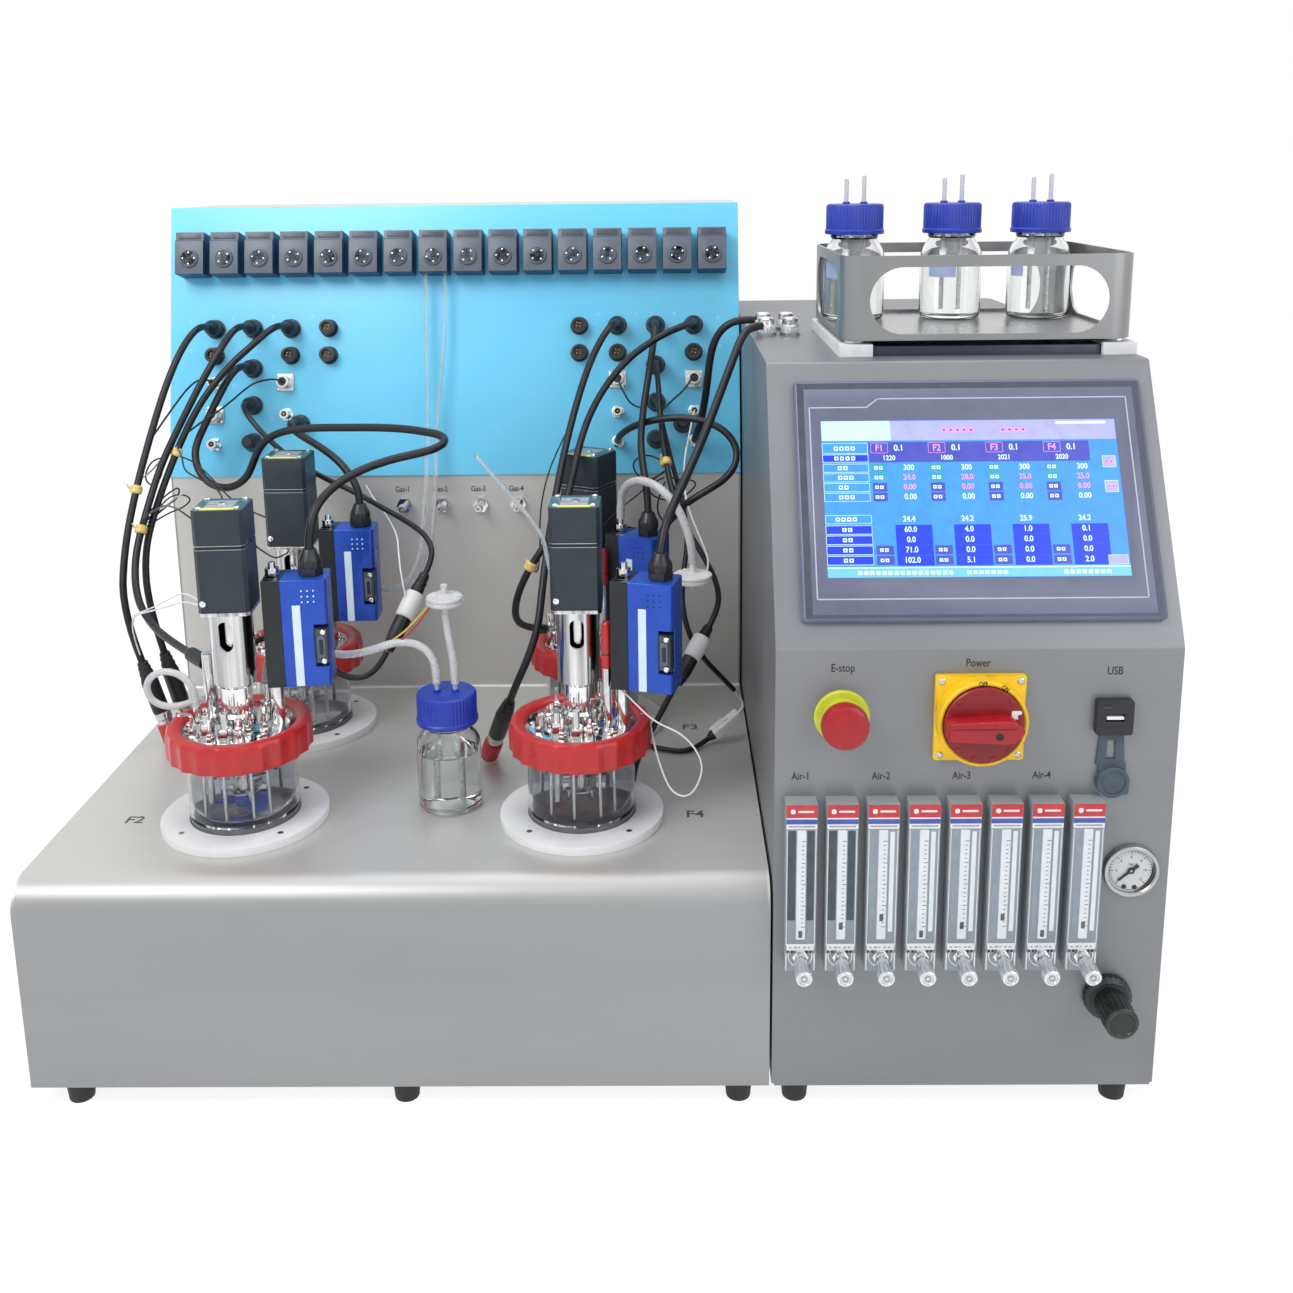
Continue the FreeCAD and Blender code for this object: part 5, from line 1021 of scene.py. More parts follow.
def headExtra(kind):
    if kind == "blind":
        return [raisedShape(hexagon(4.6), 0, 4, "polishedSteel", 0.4),
                turnedShape([(0, 4), (2.6, 4), (2.6, 6.5), (1.8, 7.2), (0, 7.2)], "chrome", 20)]
    if kind == "knurl":
        return [turnedShape([(0, 0), (5.2, 0), (5.6, 1, 1), (5.6, 10, 1), (5, 11), (0, 11)],
                            "polishedSteel", 48, 16, 0.45),
                turnedShape([(0, 11), (3.4, 11), (3.4, 14), (2.2, 16), (2.2, 24), (0, 24)], "chrome", 24)]
    if kind == "tube":
        return [raisedShape(hexagon(4), 0, 6, "polishedSteel", 0.4),
                turnedShape([(0, 6), (3, 6), (3, 9), (1.7, 10), (1.7, 27), (1.2, 27.6), (0, 27.6)],
                            "chrome", 20)]
    angle = np.linspace(0, math.radians(75), 7)
    bend = np.stack([9 - 9 * np.cos(angle), 0 * angle, 19 + 9 * np.sin(angle)], -1)
    path = np.vstack([[(0, 0, 5), (0, 0, 12), (0, 0, 19)], bend[1:], bend[-1:] + [(7, 0, 1.9)]])
    return [raisedShape(hexagon(4.4), 0, 6, "polishedSteel", 0.4), barShape(path, 1.7, "chrome", (0, 1, 0))]


def addHeadExtras():
    screw = [turnedShape([(0, 0), (2.4, 0), (2.4, 2.2), (2, 2.6), (1.3, 2.6), (1.3, 1.2), (0, 1.2)],
                         "chrome", 20)]
    collars = [turnedShape(profile, finish, 48, loop=True) for finish, profile in headExtras["collars"]]
    low = headExtras["plateTop"]
    for number, (x, y) in enumerate(vesselAxes):
        shapes = copies(screw, [onRing(x, y, headExtras["screwRing"], math.radians(11 + 60 * step), low)
                                for step in range(6)])
        for step, (angle, ring, kind) in enumerate(headExtras["small"]):
            out = math.radians(angle + 40 * (step % 3) + 25 * number)
            middle = onRing(x, y, ring, math.radians(angle), low, out)
            shapes += copies(headExtra(kind), [middle @ Matrix.Diagonal(headExtras["scale"])])
        shapes += copies(collars, [placed(x, y)])
        addPiece("head_parts_%d" % (number + 1), shapes)


# stirring motors: plates and strips on top, a screw low on the front, in each motor's own turn
motorLook = {
    "turns": (0, 4, -28, 0), "half": 21, "cut": 3,
    "labels": [(-13.5, 13.5, -19.6, -13.6, 478.9, 479.3, "stripYellow", 0.4),
               (-12, 11, -12.6, -2, 478.9, 479.25, "labelGrey", 0.4),
               (-12, 11, 0, 12, 478.9, 479.2, "labelGrey", 0.4)],
    "screw": [(0, 478.9), (2.6, 478.9), (2.6, 480.4), (1.4, 481), (1.4, 480), (0, 480)],
    # thin bright rims at the waist, painted highlights on the edges of its two grooves, a thin dark rim at
    # the foot, and the round-headed screw at the lower left
    "rims": [(448.4, 0.5, "satinSteel"), (445.2, 0.4, "satinSteel"), (391.9, 0.8, "slotDark")],
    "dome": [(0, 0), (3, 0), (3, 0.8), (2.4, 2), (1.2, 2.7), (0, 2.9)],
}


def addMotorParts():
    half = motorLook["half"]
    cut = half - motorLook["cut"]
    eight = [(-cut, -half), (cut, -half), (half, -cut), (half, cut), (cut, half), (-cut, half),
             (-half, cut), (-half, -cut)]
    shapes = [raisedShape([(0.975 * a, 0.975 * b) for a, b in eight], 478.4, 479, "motorTeal", 0.3)]
    shapes += plates(*motorLook["labels"]) + discs((3.8, 478.9, 480.2, "satinSteel", 28, 0.5))
    shapes += copies([turnedShape(motorLook["screw"], "chrome", 20)], corners(15.5))
    for height, thick, finish in motorLook["rims"]:
        shapes.append(raisedShape([(1.003 * a, 1.003 * b) for a, b in eight], height, height + thick,
                                  finish))
    shapes.append(moved(turnedShape(motorLook["dome"], "chrome", 24), placed(-16, -half, 400, math.pi / 2)))
    for number, ((x, y), turn) in enumerate(zip(vesselAxes, motorLook["turns"])):
        addPiece("motor_parts_%d" % (number + 1), copies(shapes, [placed(x, y, 0, 0, math.radians(turn))]))


# condensers: turn, distance from the axis to the block and its lowest height, as the solids stand
condenserLook = {
    "turns": (2, 6, -32, -16), "near": (43, 44.5, 45, 49), "low": (313, 323, 312, 325),
    "strip": (9.2, 15.9, 0.6, 71.5), "dots": (17.6, 4.9, 9.2, 4.8),
    # socket in the notch: grey face, raised frame, opening, and two round-headed screws
    "socket": [(27.2, 36.4, 21, 50, -1, 1.6, "rotorGrey", 1, 0.5),
               (28.6, 35, 26, 45, 1.2, 4.2, "pumpGrey", 1.2, 0.6),
               (30.2, 33.4, 29, 42, 4, 4.6, "socketBlack", 0.8, 0.2)],
    "screw": [(0, 0), (2.3, 0), (2.3, 2.6), (1.7, 3.2), (1, 3.3), (1, 2.4), (0, 2.4)],
    "gland": [(0, 7), (9.4, 7), (9.9, 8, 1), (9.9, 13, 1), (9.2, 14.4), (7.4, 17.6), (6, 21.6), (5.2, 22.6),
              (0, 22.6)],
}


def addCondenserParts():
    firstX, pitchX, drop, pitchZ = condenserLook["dots"]
    screw = [turnedShape(condenserLook["screw"], "chrome", 20)]
    gland = [turnedShape(condenserLook["gland"], "socketBlack", 72, 12, 0.6)]
    for number, (x, y) in enumerate(vesselAxes):
        near = condenserLook["near"][number]
        low = condenserLook["low"][number]
        stand = placed(x, y, 0, 0, math.radians(condenserLook["turns"][number]))
        front = stand @ placed(near, -17, low, math.pi / 2)  # right from the block's left edge, up, out
        across = near + 38 * 0.62
        shapes = copies(plates((*condenserLook["strip"], -0.1, 0.35, "printPale", 0.2)), [front])
        shapes += copies(discs((0.75, -0.1, 0.2, "printPale" if number < 2 else "slotDark", 12)),
                         [front @ placed(firstX + pitchX * column, 93 - drop - pitchZ * row)
                          for column in range(3) for row in range(3)])
        shapes += copies(plates(*condenserLook["socket"]), [front @ placed(0, 0, -0.4)])
        shapes += copies(screw, [front @ placed(33.6, height, 1) for height in (22.8, 48.2)])
        shapes += copies(gland, [stand @ placed(across, 0, low + 93)])
        shapes += copies([ringShape(8.2, 0.7, "satinSteel")], [stand @ placed(across, 0, low + 107.6)])
        addPiece("condenser_parts_%d" % (number + 1), shapes)


# pumps: rotor and its four bright pins, a seam across the face and the lid's lip on each
pumpLook = {
    "first": 300 - 7.5 * 36.2, "pitch": 36.2, "row": 232.6, "face": 29.5, "drop": 6, "turn": 0.7,
    "rotor": [(0, -0.4), (9.9, -0.4), (9.9, 0.2), (9.6, 1.2), (8.6, 2), (0, 2)],
    "pin": [(0, 2), (0.95, 2), (0.95, 2.5), (0.5, 2.9), (0, 3)],
    # a shallow seam across the face and the lip of the lid
    "seams": [(-14.4, 14.4, 12.4, 12.9, -0.2, 0.12, "pumpBlue", 0.1),
              (-11.5, 11.5, 14.6, 20.6, -3.4, -2.7, "rotorGrey", 1, 0.2)],
}


def addPumpParts():
    rotorFace = [turnedShape(pumpLook["rotor"], "rotorGrey"), ringShape(8.1, 0.45, "pumpGrey")]
    pin = [turnedShape(pumpLook["pin"], "chrome", 16)]
    shapes = []
    for step in range(16):
        middle = onPanel @ placed(pumpLook["first"] + step * pumpLook["pitch"], pumpLook["row"],
                                  pumpLook["face"])
        rotor = middle @ placed(0, -pumpLook["drop"], 0)
        turn = pumpLook["turn"] * step
        shapes += copies(rotorFace, [rotor])
        shapes += copies([ringShape(7.9, 0.5, "pumpGrey")], [rotor @ placed(0, 0, 2.05)])
        shapes += copies(discs((2.1, 1.9, 2.7, "slotDark", 20, 0.3)), [rotor])
        shapes += copies(plates((-4.4, 4.4, -0.25, 0.25, 1.9, 2.25, "slotDark", 0.2)),
                         [rotor @ placed(turn=turn * 1.3 + line * 1.05) for line in range(3)])
        shapes += copies(pin, [rotor @ onRing(0, 0, 6, turn + quarter * math.pi / 2)
                               for quarter in range(4)])
        shapes += copies(plates(*pumpLook["seams"]), [middle])
    addPiece("pump_parts", shapes)


# sockets on the panel: places as (right, up the slope)
plugged = [(48, 156), (88, 156), (128, 156), (88, 114), (88, 75), (88, 36), (472, 156), (512, 156),
           (552, 156), (512, 114), (512, 75), (512, 36), (138, 55), (540, 52)]
emptySockets = [(168, 156), (432, 156), (48, 127.5), (128, 127.5), (168, 127.5), (432, 127.5), (472, 127.5),
                (552, 127.5)]

socketLook = {
    "sheet": 2.5,
    "sleeve": [(0, 3), (8.2, 3), (8.4, 4, 1), (8.4, 13, 1), (7.9, 14.5), (6.9, 18.4), (5, 20.6), (4.4, 23),
               (0, 23)],
    "washer": [(0, 0), (10.2, 0), (10.2, 1.2), (9.8, 1.6), (0, 1.6)],
    "rim": [(5, 8), (7.9, 8), (8.1, 9, 1), (8.1, 12.2, 1), (7.6, 13.2), (6, 13.3), (5, 12.6)],
    "roofCap": [(0, 3), (8.3, 3), (8.6, 4, 1), (8.6, 9.5, 1), (8, 10.5), (0, 10.5)],
    "roofStem": [(0, 10), (6.4, 10), (6.8, 12), (6.4, 16), (5.4, 17), (0, 17)],
}
coaxPlaces = [(48, 99, 5), (48, 65, 6.5), (48, 34, 5), (122, 99, 6.5), (124, 65, 5), (472, 99, 6.5),
              (472, 65, 5), (472, 34, 5), (552, 99, 6.5), (552, 65, 5), (552, 34, 5)]


def addSocketParts():
    dark = copies([turnedShape(socketLook["sleeve"], "socketBlack", 72, 18, 0.5),
                   turnedShape(socketLook["washer"], "rotorGrey", 36)],
                  [onPanel @ placed(x, v, socketLook["sheet"]) for x, v in plugged])
    rim = [turnedShape(socketLook["rim"], "socketBlack", 72, 18, 0.4, loop=True),
           *discs((5.1, 8.4, 9.4, "slotDark", 28)), ringShape(9, 0.6, "rotorGrey", 36)]
    pin = [turnedShape([(0, 9.2), (0.55, 9.2), (0.55, 12), (0, 12.5)], "pinGold", 10)]
    bright = []
    for x, v in emptySockets:
        stand = onPanel @ placed(x, v, socketLook["sheet"])
        dark += copies(rim, [stand])
        bright += copies(pin, [stand @ onRing(0, 0, 2.6, step * 1.57 + 0.6) for step in range(4)])
    for x, v, radius in coaxPlaces:
        stand = onPanel @ placed(x, v, socketLook["sheet"])
        if radius > 6:  # the wider ones stand on a square plate with four screws
            bright += copies(plates((-9, 9, -9, 9, 0, 2, "satinSteel", 1.2, 0.3)), [stand])
            bright += copies(discs((1.2, 1.9, 2.6, "chrome", 12, 0.2)),
                             [stand @ corner for corner in corners(7)])
        else:
            bright += copies([raisedShape(hexagon(7), 0, 2.4, "chrome", 0.3)], [stand])
        bright += copies([ringShape(radius - 0.2, 0.5, "chrome", 36)],
                         [stand @ placed(0, 0, z) for z in (4.5, 9)])
        mouth = [(radius - 2, 12.4), (radius, 12.4), (radius, 14.4), (radius - 0.6, 15), (radius - 2, 15)]
        bright += copies([turnedShape(mouth, "plainWhite", 36, loop=True),
                          roundShape(radius - 1.9, 12.4, 13.2, "slotDark"),
                          turnedShape([(0, 13), (0.8, 13), (0.8, 14.8), (0, 15)], "pinGold", 12)], [stand])
    bright += copies([turnedShape(socketLook["roofCap"], "knobClear", 72, 18, 0.5),
                      turnedShape(socketLook["roofStem"], "chrome", 36)],
                     [placed(x, y, 593) for x in (616, 638) for y in (292, 336)])
    addPiece("socket_parts", dark)
    addPiece("connector_parts", bright)


# bottles and their caps
bottleLook = {
    "places": [(696.6, 295, 608), (787, 300, 608), (867, 295, 608), (328, 143, 198)],
    "glass": [(0, 0.6), (23.5, 0), (26.6, 0.8), (28, 3.4), (28, 56), (27.2, 61.5), (24.6, 67), (21.6, 71),
              (20.4, 73.6), (21.8, 75.2), (21.8, 77), (20, 78.2), (20, 100), (16.5, 100), (16.5, 76),
              (18, 71), (21.8, 65.5), (25.2, 60), (25.8, 55), (25.8, 6), (24, 3.6), (0, 3.2)],
    "cap": [(0, 99.6), (20.3, 99.6), (20.3, 78), (26.6, 78), (27, 78.8), (27, 81.4), (26.4, 82.2),
            (26.4, 82.6, 1), (26.4, 102.6, 1), (25.6, 104.2, 0.5), (24.2, 105), (0, 105)],
    "grommet": [(2, 104.8), (3.4, 104.8), (3.4, 106.4), (2.8, 107), (2, 107)], "apart": (-8, 8),
    "liquid": [(0, 3.6), (23.8, 4), (25.5, 6.2), (25.5, 52), (25, 51.4), (0, 51.2)],
    # a plain pale patch printed on the glass: its cross-section, and from where to where on each bottle
    "patch": [(27.9, 39), (28.15, 39), (28.15, 54), (27.9, 54)],
    "patchTurns": [(200, 262), (215, 268), (196, 226)],
}


def addBottles():
    cap = [turnedShape(bottleLook["cap"], "capBlue", 144, 48, 0.9, 0.8)]
    grommet = [turnedShape(bottleLook["grommet"], "capBlue", 20, loop=True)]
    stands = [placed(*place) for place in bottleLook["places"]]
    caps = []
    for x, y, z in bottleLook["places"]:
        caps += copies(cap, [placed(x, y, z)])
        caps += copies(grommet, [placed(x + side, y, z) for side in bottleLook["apart"]])
    addPiece("bottle_jars", copies([turnedShape(bottleLook["glass"], "clearGlass", 72)], stands),
             instead="media_bottles")
    addPiece("ribbed_caps", caps, instead="bottle_caps")
    liquid = [turnedShape(bottleLook["liquid"], "water", 64)]
    addPiece("deck_bottle_liquid", copies(liquid, stands[3:]))
    patches = []
    steps = 15
    faces = [[a + 4 * step, b + 4 * step, b + 4 * step + 4, a + 4 * step + 4]
             for step in range(steps) for a, b in ((0, 1), (1, 2), (2, 3), (3, 0))]
    faces += [[3, 2, 1, 0], [4 * steps + side for side in range(4)]]
    out, up = np.array(bottleLook["patch"]).T
    for stand, (start, end) in zip(stands, bottleLook["patchTurns"]):
        angle = np.radians(np.linspace(start, end, steps + 1))[:, None]
        points = np.stack([out * np.cos(angle), out * np.sin(angle), up + 0 * angle], -1).reshape(-1, 3)
        patches.append(moved(shapeOf(points, faces, "patchBlue"), stand))
    addPiece("bottle_patches", patches)


# the rack's two white rails with the dark slab between them
railLook = {
    "plates": [(664, 692, 141, 345, 593, 603, "railWhite", 1, 0.8),
               (880, 908, 141, 345, 593, 603, "railWhite", 1, 0.8),
               (692, 880, 145, 341, 593, 601, "slabBlue", 0.6, 0.4)],
    "screw": [(0, 602.8), (8.4, 602.8), (8.8, 603.6), (8.4, 605.4), (0, 605.4)],
    "screwsRight": (678, 894), "screwsBack": (157, 329),
}


def addRails():
    screw = [turnedShape(railLook["screw"], "satinSteel", 36)]
    shapes = plates(*railLook["plates"])
    shapes += copies(screw, [placed(x, y) for x in railLook["screwsRight"] for y in railLook["screwsBack"]])
    addPiece("roof_rails", shapes, instead="rack_rails")


addVesselBodies()
addBlueStirrer()
addHeadExtras()
addMotorParts()
addCondenserParts()
addPumpParts()
addSocketParts()
addBottles()
addRails()
print("vessels, motors, condensers, pumps, sockets and bottles finished")

# controls on the cabinet's front: right from its left side, up from the floor, out from the sheet
controls = {
    "stop": (50.6, 338), "switch": (153.8, 338), "usb": (255, 338), "gauge": (276.4, 210),
    "regulator": (264.4, 101.4),
    "labels": [("E-stop", 50.6, 376.6, 9), ("Power", 152, 380, 9), ("USB", 255, 373, 9),
               ("Air-1", 20, 289, 8.6), ("Air-2", 81.5, 289, 8.6), ("Air-3", 143, 289, 8.6),
               ("Air-4", 204, 289, 8.6)],
    "narrow": 0.78,
}

stopLook = {
    "collar": [(0, 0), (21.3, 0), (21.3, 1.6), (20.4, 2.9), (17.5, 3.3), (15.6, 3.3), (15.2, 3.6),
               (14.2, 3.8, 1), (14.2, 7.9, 1), (9.2, 7.9), (9.2, 3.5), (0, 3.5)],
    "button": [(0, 12.6), (15.6, 12.6), (17.4, 13.6), (18, 15.6), (18, 20.6), (17.2, 23.4), (14.6, 25),
               (9, 25.5), (0, 25.6)],
    "stem": (8.6, 8.3, 13, "stopRed", 48),
}


def addStop():
    middle = [onFront @ placed(*controls["stop"])]
    addPiece("stop_collar_turned", copies([turnedShape(stopLook["collar"], "collarYellow", 72, 18, 0.8)],
                                          middle),
             instead="stop_collar")
    button = [turnedShape(stopLook["button"], "stopRed", 72), roundShape(*stopLook["stem"])]
    addPiece("stop_button_turned", copies(button, middle), body="stop_button",
             instead="stop_button")


switchLook = {
    "rim": [(30.7, 11), (31, 17), (31.5, 17.6), (33, 17.6), (33.7, 16.8), (33.9, 5.2), (33, 5)],
    "screw": [(0, 4.9), (2.6, 4.9), (2.6, 5.6), (1.8, 6.2), (0, 6.2)],
    "disc": [(0, 10.3), (29.4, 10.3), (30, 11), (30, 19.4), (29.2, 20.3), (0, 20.3)],
    "grip": [(-29, -5.5), (-26, -7.4), (14, -9.2), (19, -8.6), (26.2, -2), (27, 0), (26.2, 2), (19, 8.6),
             (14, 9.2), (-26, 7.4), (-29, 5.5)],
    "words": [("OFF", 0.05), ("ON", -0.48)], "wordPlace": (0, 32.1, 17.6), "wordSize": 4.8,
    "screws": 29.5,
    # on the handle: a white mark with a dot, the lock's hole, and a seam; then flutes round the disc
    "mark": (19.6, 27, 5.5, 12, 20.2, 20.5, "plainWhite", 0.8),
    "dot": (1.6, 20.4, 20.7, "printBlack", 20), "dotPlace": (23.2, 1.9),
    "hole": [(2, 33.9), (2.9, 33.9), (2.9, 34.25), (2, 34.25)], "holePlace": (8, -2.6),
    "seam": (-27, 20, 2.7, 3.7, 33.95, 34.15, "stopDark", 0.3),
    "flute": (25.2, 29.4, -2.2, 2.2, 20.1, 20.8, "switchRed", 1, 0.4), "flutes": 12, "firstFlute": 0.26,
}


def addSwitch():
    middle = onFront @ placed(*controls["switch"])
    shapes = copies([turnedShape(switchLook["rim"], "signYellow", 96, loop=True)], [middle])
    for word, turn in switchLook["words"]:
        at = narrowed(middle @ placed(turn=turn) @ placed(*switchLook["wordPlace"]))
        shapes.append(letterShapes(word, switchLook["wordSize"], at, "printBlack", bold=0.025))
    shapes += copies([turnedShape(switchLook["screw"], "satinSteel", 20)],
                     [middle @ corner for corner in corners(switchLook["screws"])])
    addPiece("switch_rim", shapes)
    handle = [turnedShape(switchLook["disc"], "switchRed", 96),
              raisedShape(switchLook["grip"], 19.8, 34, "stopRed", 1.6)]
    addPiece("switch_handle_shaped", copies(handle, [middle]), body="switch_handle",
             instead="switch_handle")
    marks = plates(switchLook["mark"])
    marks += copies(discs(switchLook["dot"]), [placed(*switchLook["dotPlace"])])
    # the lock's hole is a shallow ring round a dark disc, painted shade for its depth
    marks += copies([turnedShape(switchLook["hole"], "slotDark", 28, loop=True),
                     roundShape(2, 33.8, 34.1, "slotDark")], [placed(*switchLook["holePlace"])])
    marks += plates(switchLook["seam"])
    count = switchLook["flutes"]
    marks += copies(plates(switchLook["flute"]),
                    [placed(turn=step * 2 * math.pi / count + switchLook["firstFlute"])
                     for step in range(count)])
    addPiece("switch_marks", copies(marks, [middle]), body="switch_handle")


gaugeLook = {
    "case": [(0, 0), (20.8, 0), (21.5, 0.8), (21.5, 3.6), (21, 4.7), (19.8, 5.3), (18.6, 5.2), (18, 4.4),
             (18, 1.5), (0, 1.5)],
    "discs": [(17.9, 1.4, 1.7, "dialWhite", 72), (0.8, 1.5, 3.4, "satinSteel", 16)],
    "screw": (1.9, 1.6, 2.1, "printBlack", 20), "screws": [(-4.6, -13.8), (3.6, -14.4)],
    "line": [(16.3, 1.65), (16.6, 1.65), (16.6, 1.8), (16.3, 1.8)],
    # the scale: its first angle, its lines, the angle between two, where they start and half their width
    "start": 225, "lines": 31, "apart": 9, "short": (14.8, 0.16), "long": (13.4, 0.26), "end": 16.4,
    # the last three: a painted shadow of the rim, a dark crescent on the dial at the lower right, as its
    # radius, width and angles
    "numbers": 7, "numberRing": 10.9, "face": 1.7, "shadowArc": 17.7, "shadowArcWidth": 1.5, "shadowArcTurns": (-78, 28),
}


def addGauge():
    middle = onFront @ placed(*controls["gauge"])
    case = [turnedShape(gaugeLook["case"], "gaugeRim", 96)]
    case += discs(*gaugeLook["discs"])
    case += copies(discs(gaugeLook["screw"]), [placed(*place) for place in gaugeLook["screws"]])
    for step in range(gaugeLook["lines"]):  # a longer and wider line at every fifth
        start, half = gaugeLook["short" if step % 5 else "long"]
        case += copies(plates((start, gaugeLook["end"], -half, half, 1.65, 1.8, "printBlack", 0.1)),
                       [placed(turn=math.radians(gaugeLook["start"] - gaugeLook["apart"] * step))])
    case.append(turnedShape(gaugeLook["line"], "printBlack", 72, loop=True))
    # the painted rim shadow: a dark crescent, widest at its middle
    arc = np.radians(np.linspace(*gaugeLook["shadowArcTurns"], 24))
    wide = gaugeLook["shadowArcWidth"] * np.sin(np.linspace(0, math.pi, 24))
    outer = np.stack([gaugeLook["shadowArc"] * np.cos(arc), gaugeLook["shadowArc"] * np.sin(arc)], -1)
    inner = outer * (1 - wide / gaugeLook["shadowArc"])[:, None]
    case.append(raisedShape(np.vstack([outer, inner[-2:0:-1]]), 1.6, 1.85, "printBlack"))
    shapes = copies(case, [middle])
    for step in range(gaugeLook["numbers"]):
        turn = math.radians(gaugeLook["start"] - 5 * gaugeLook["apart"] * step)
        at = middle @ onRing(0, 0, gaugeLook["numberRing"], turn, gaugeLook["face"])
        shapes.append(letterShapes(str(step * 2), 3, at, "printBlack"))
    shapes.append(letterShapes("bar", 2.8, middle @ placed(0, 5.2, gaugeLook["face"]), "printBlack"))
    addPiece("gauge_case_turned", shapes, instead="gauge_case")


regulatorLook = {
    "nut": [(0, 0), (18.2, 0), (19, 1, 1), (19, 5.6, 1), (17.4, 7), (15.2, 8.8), (0, 9.1)],
    "knob": [(0, 9.3), (11.6, 9.3), (12.6, 10.6, 1), (13.2, 13, 1), (13.2, 35.4, 1), (12.6, 36.4), (13, 37),
             (12.9, 38.4), (12, 39.2), (9.6, 39.3), (9, 38.6), (0, 38.5)],
    "stem": (4, -2, 9.6, "regulatorBlack", 32), "ring": (10.8, 0.35, "rotorGrey", 60), "ringHeight": 39.2,
}


def addRegulator():
    middle = [onFront @ placed(*controls["regulator"])]
    nut = [turnedShape(regulatorLook["nut"], "socketBlack", 144, 24, 0.9)]
    addPiece("regulator_nut", copies(nut, middle))
    knob = [turnedShape(regulatorLook["knob"], "regulatorBlack", 120, 20, 0.7),
            roundShape(*regulatorLook["stem"]),
            moved(ringShape(*regulatorLook["ring"]), placed(0, 0, regulatorLook["ringHeight"]))]
    addPiece("regulator_knob_turned", copies(knob, middle), body="regulator_knob",
             instead="regulator_knob")


usbLook = {
    "plates": [(-6.4, 6.4, -1.1, 1.1, 3, 7.25, "plainWhite", 0.4, 0.2),
               (-9.5, -3.5, 8, 9, 6.9, 7.1, "rotorGrey", 0.3)],
    "capRim": [(9.6, 4.8), (12.4, 4.8), (12.4, 5.6), (11.6, 6), (9.6, 5.6)], "capPlace": (2, -53),
}


def narrowed(matrix):
    return matrix @ Matrix.Diagonal((controls["narrow"], 1, 1, 1))


def addUsbParts():
    rim = turnedShape(usbLook["capRim"], "rubberGrey", 56, loop=True)
    shapes = plates(*usbLook["plates"]) + [moved(rim, placed(*usbLook["capPlace"]))]
    addPiece("usb_parts", copies(shapes, [onFront @ placed(*controls["usb"])]))


# flow meters: plates as left, right, low, high, from, to, finish, corner, rim, from the foot's middle out
meterLook = {
    "first": 19.8, "pitch": 31.1, "low": 132.5, "face": 15, "valve": 13.2,
    "label": [(-11.7, 11.7, 129.8, 140.2, -0.2, 0.35, "labelRed", 0.4),
              (-11.7, 11.7, 124.6, 128.6, -0.2, 0.35, "labelBlue"),
              (-11.7, 11.7, 120.6, 129.8, -0.25, 0.28, "labelWhite"),
              (-10.2, 10.2, 122, 123.4, -0.2, 0.34, "labelGrey", 0.2),
              (-8.6, -5, 133, 136.8, -0.2, 0.42, "labelWhite", 1.2),
              (-3, 9, 134.1, 135.7, -0.2, 0.42, "labelWhite", 0.4)],
    # the bore's milky sight strip and its walls
    "strip": [(-3.4, 3.4, 27.5, 119.5, -0.3, 0.25, "meterTube", 0.8),
              (-4, -3.4, 26.5, 119.5, -0.3, 0.3, "labelGrey", 0.2),
              (3.4, 4, 26.5, 119.5, -0.3, 0.3, "labelGrey", 0.2),
              (-11.2, -10.6, 22, 119.5, -0.3, 0.2, "meterTube", 0.2),
              (10.6, 11.2, 22, 119.5, -0.3, 0.2, "meterTube", 0.2)],
    # the first two have dark backing beside the sight strip; the others a pale streak, a painted highlight,
    # and a darker streak, painted shade
    "dark": [(-10.4, -4.4, 44, 119, -0.3, 0.22, "meterDark", 0.6),
             (4.4, 9.8, 44, 119, -0.3, 0.22, "meterDark", 0.6)],
    "pale": [(5.2, 8.6, 34, 118, -0.3, 0.2, "meterTube", 0.6),
             (-8.8, -5.8, 34, 118, -0.3, 0.2, "meterShade", 0.6)],
    "footPlate": (-10.6, 10.6, 18.4, 23.6, -0.2, 0.7, "labelWhite", 0.4, 0.1),
    "words": (1.6, 2.6, 1.2, 2.2, 1.8),
    "foot": [(-11.4, -10.4, 1, 15.6, -0.3, 0.3, "meterTube", 0.2),
             (10.4, 11.4, 1, 15.6, -0.3, 0.3, "meterTube", 0.2)],
    "seat": [(3, 6.4), (5, 6.4), (5, 10.6), (4.2, 12), (3, 12)],
    "knob": [(0, 12), (5.6, 12), (6.4, 13.2, 1), (6.6, 29.6, 1), (6.2, 31), (5.4, 31.6), (4.4, 31.6),
             (4, 31), (0, 30.8)],
    "knobRing": [(1.6, 30.6), (2.6, 30.6), (2.6, 31.5), (1.6, 31.5)],
}


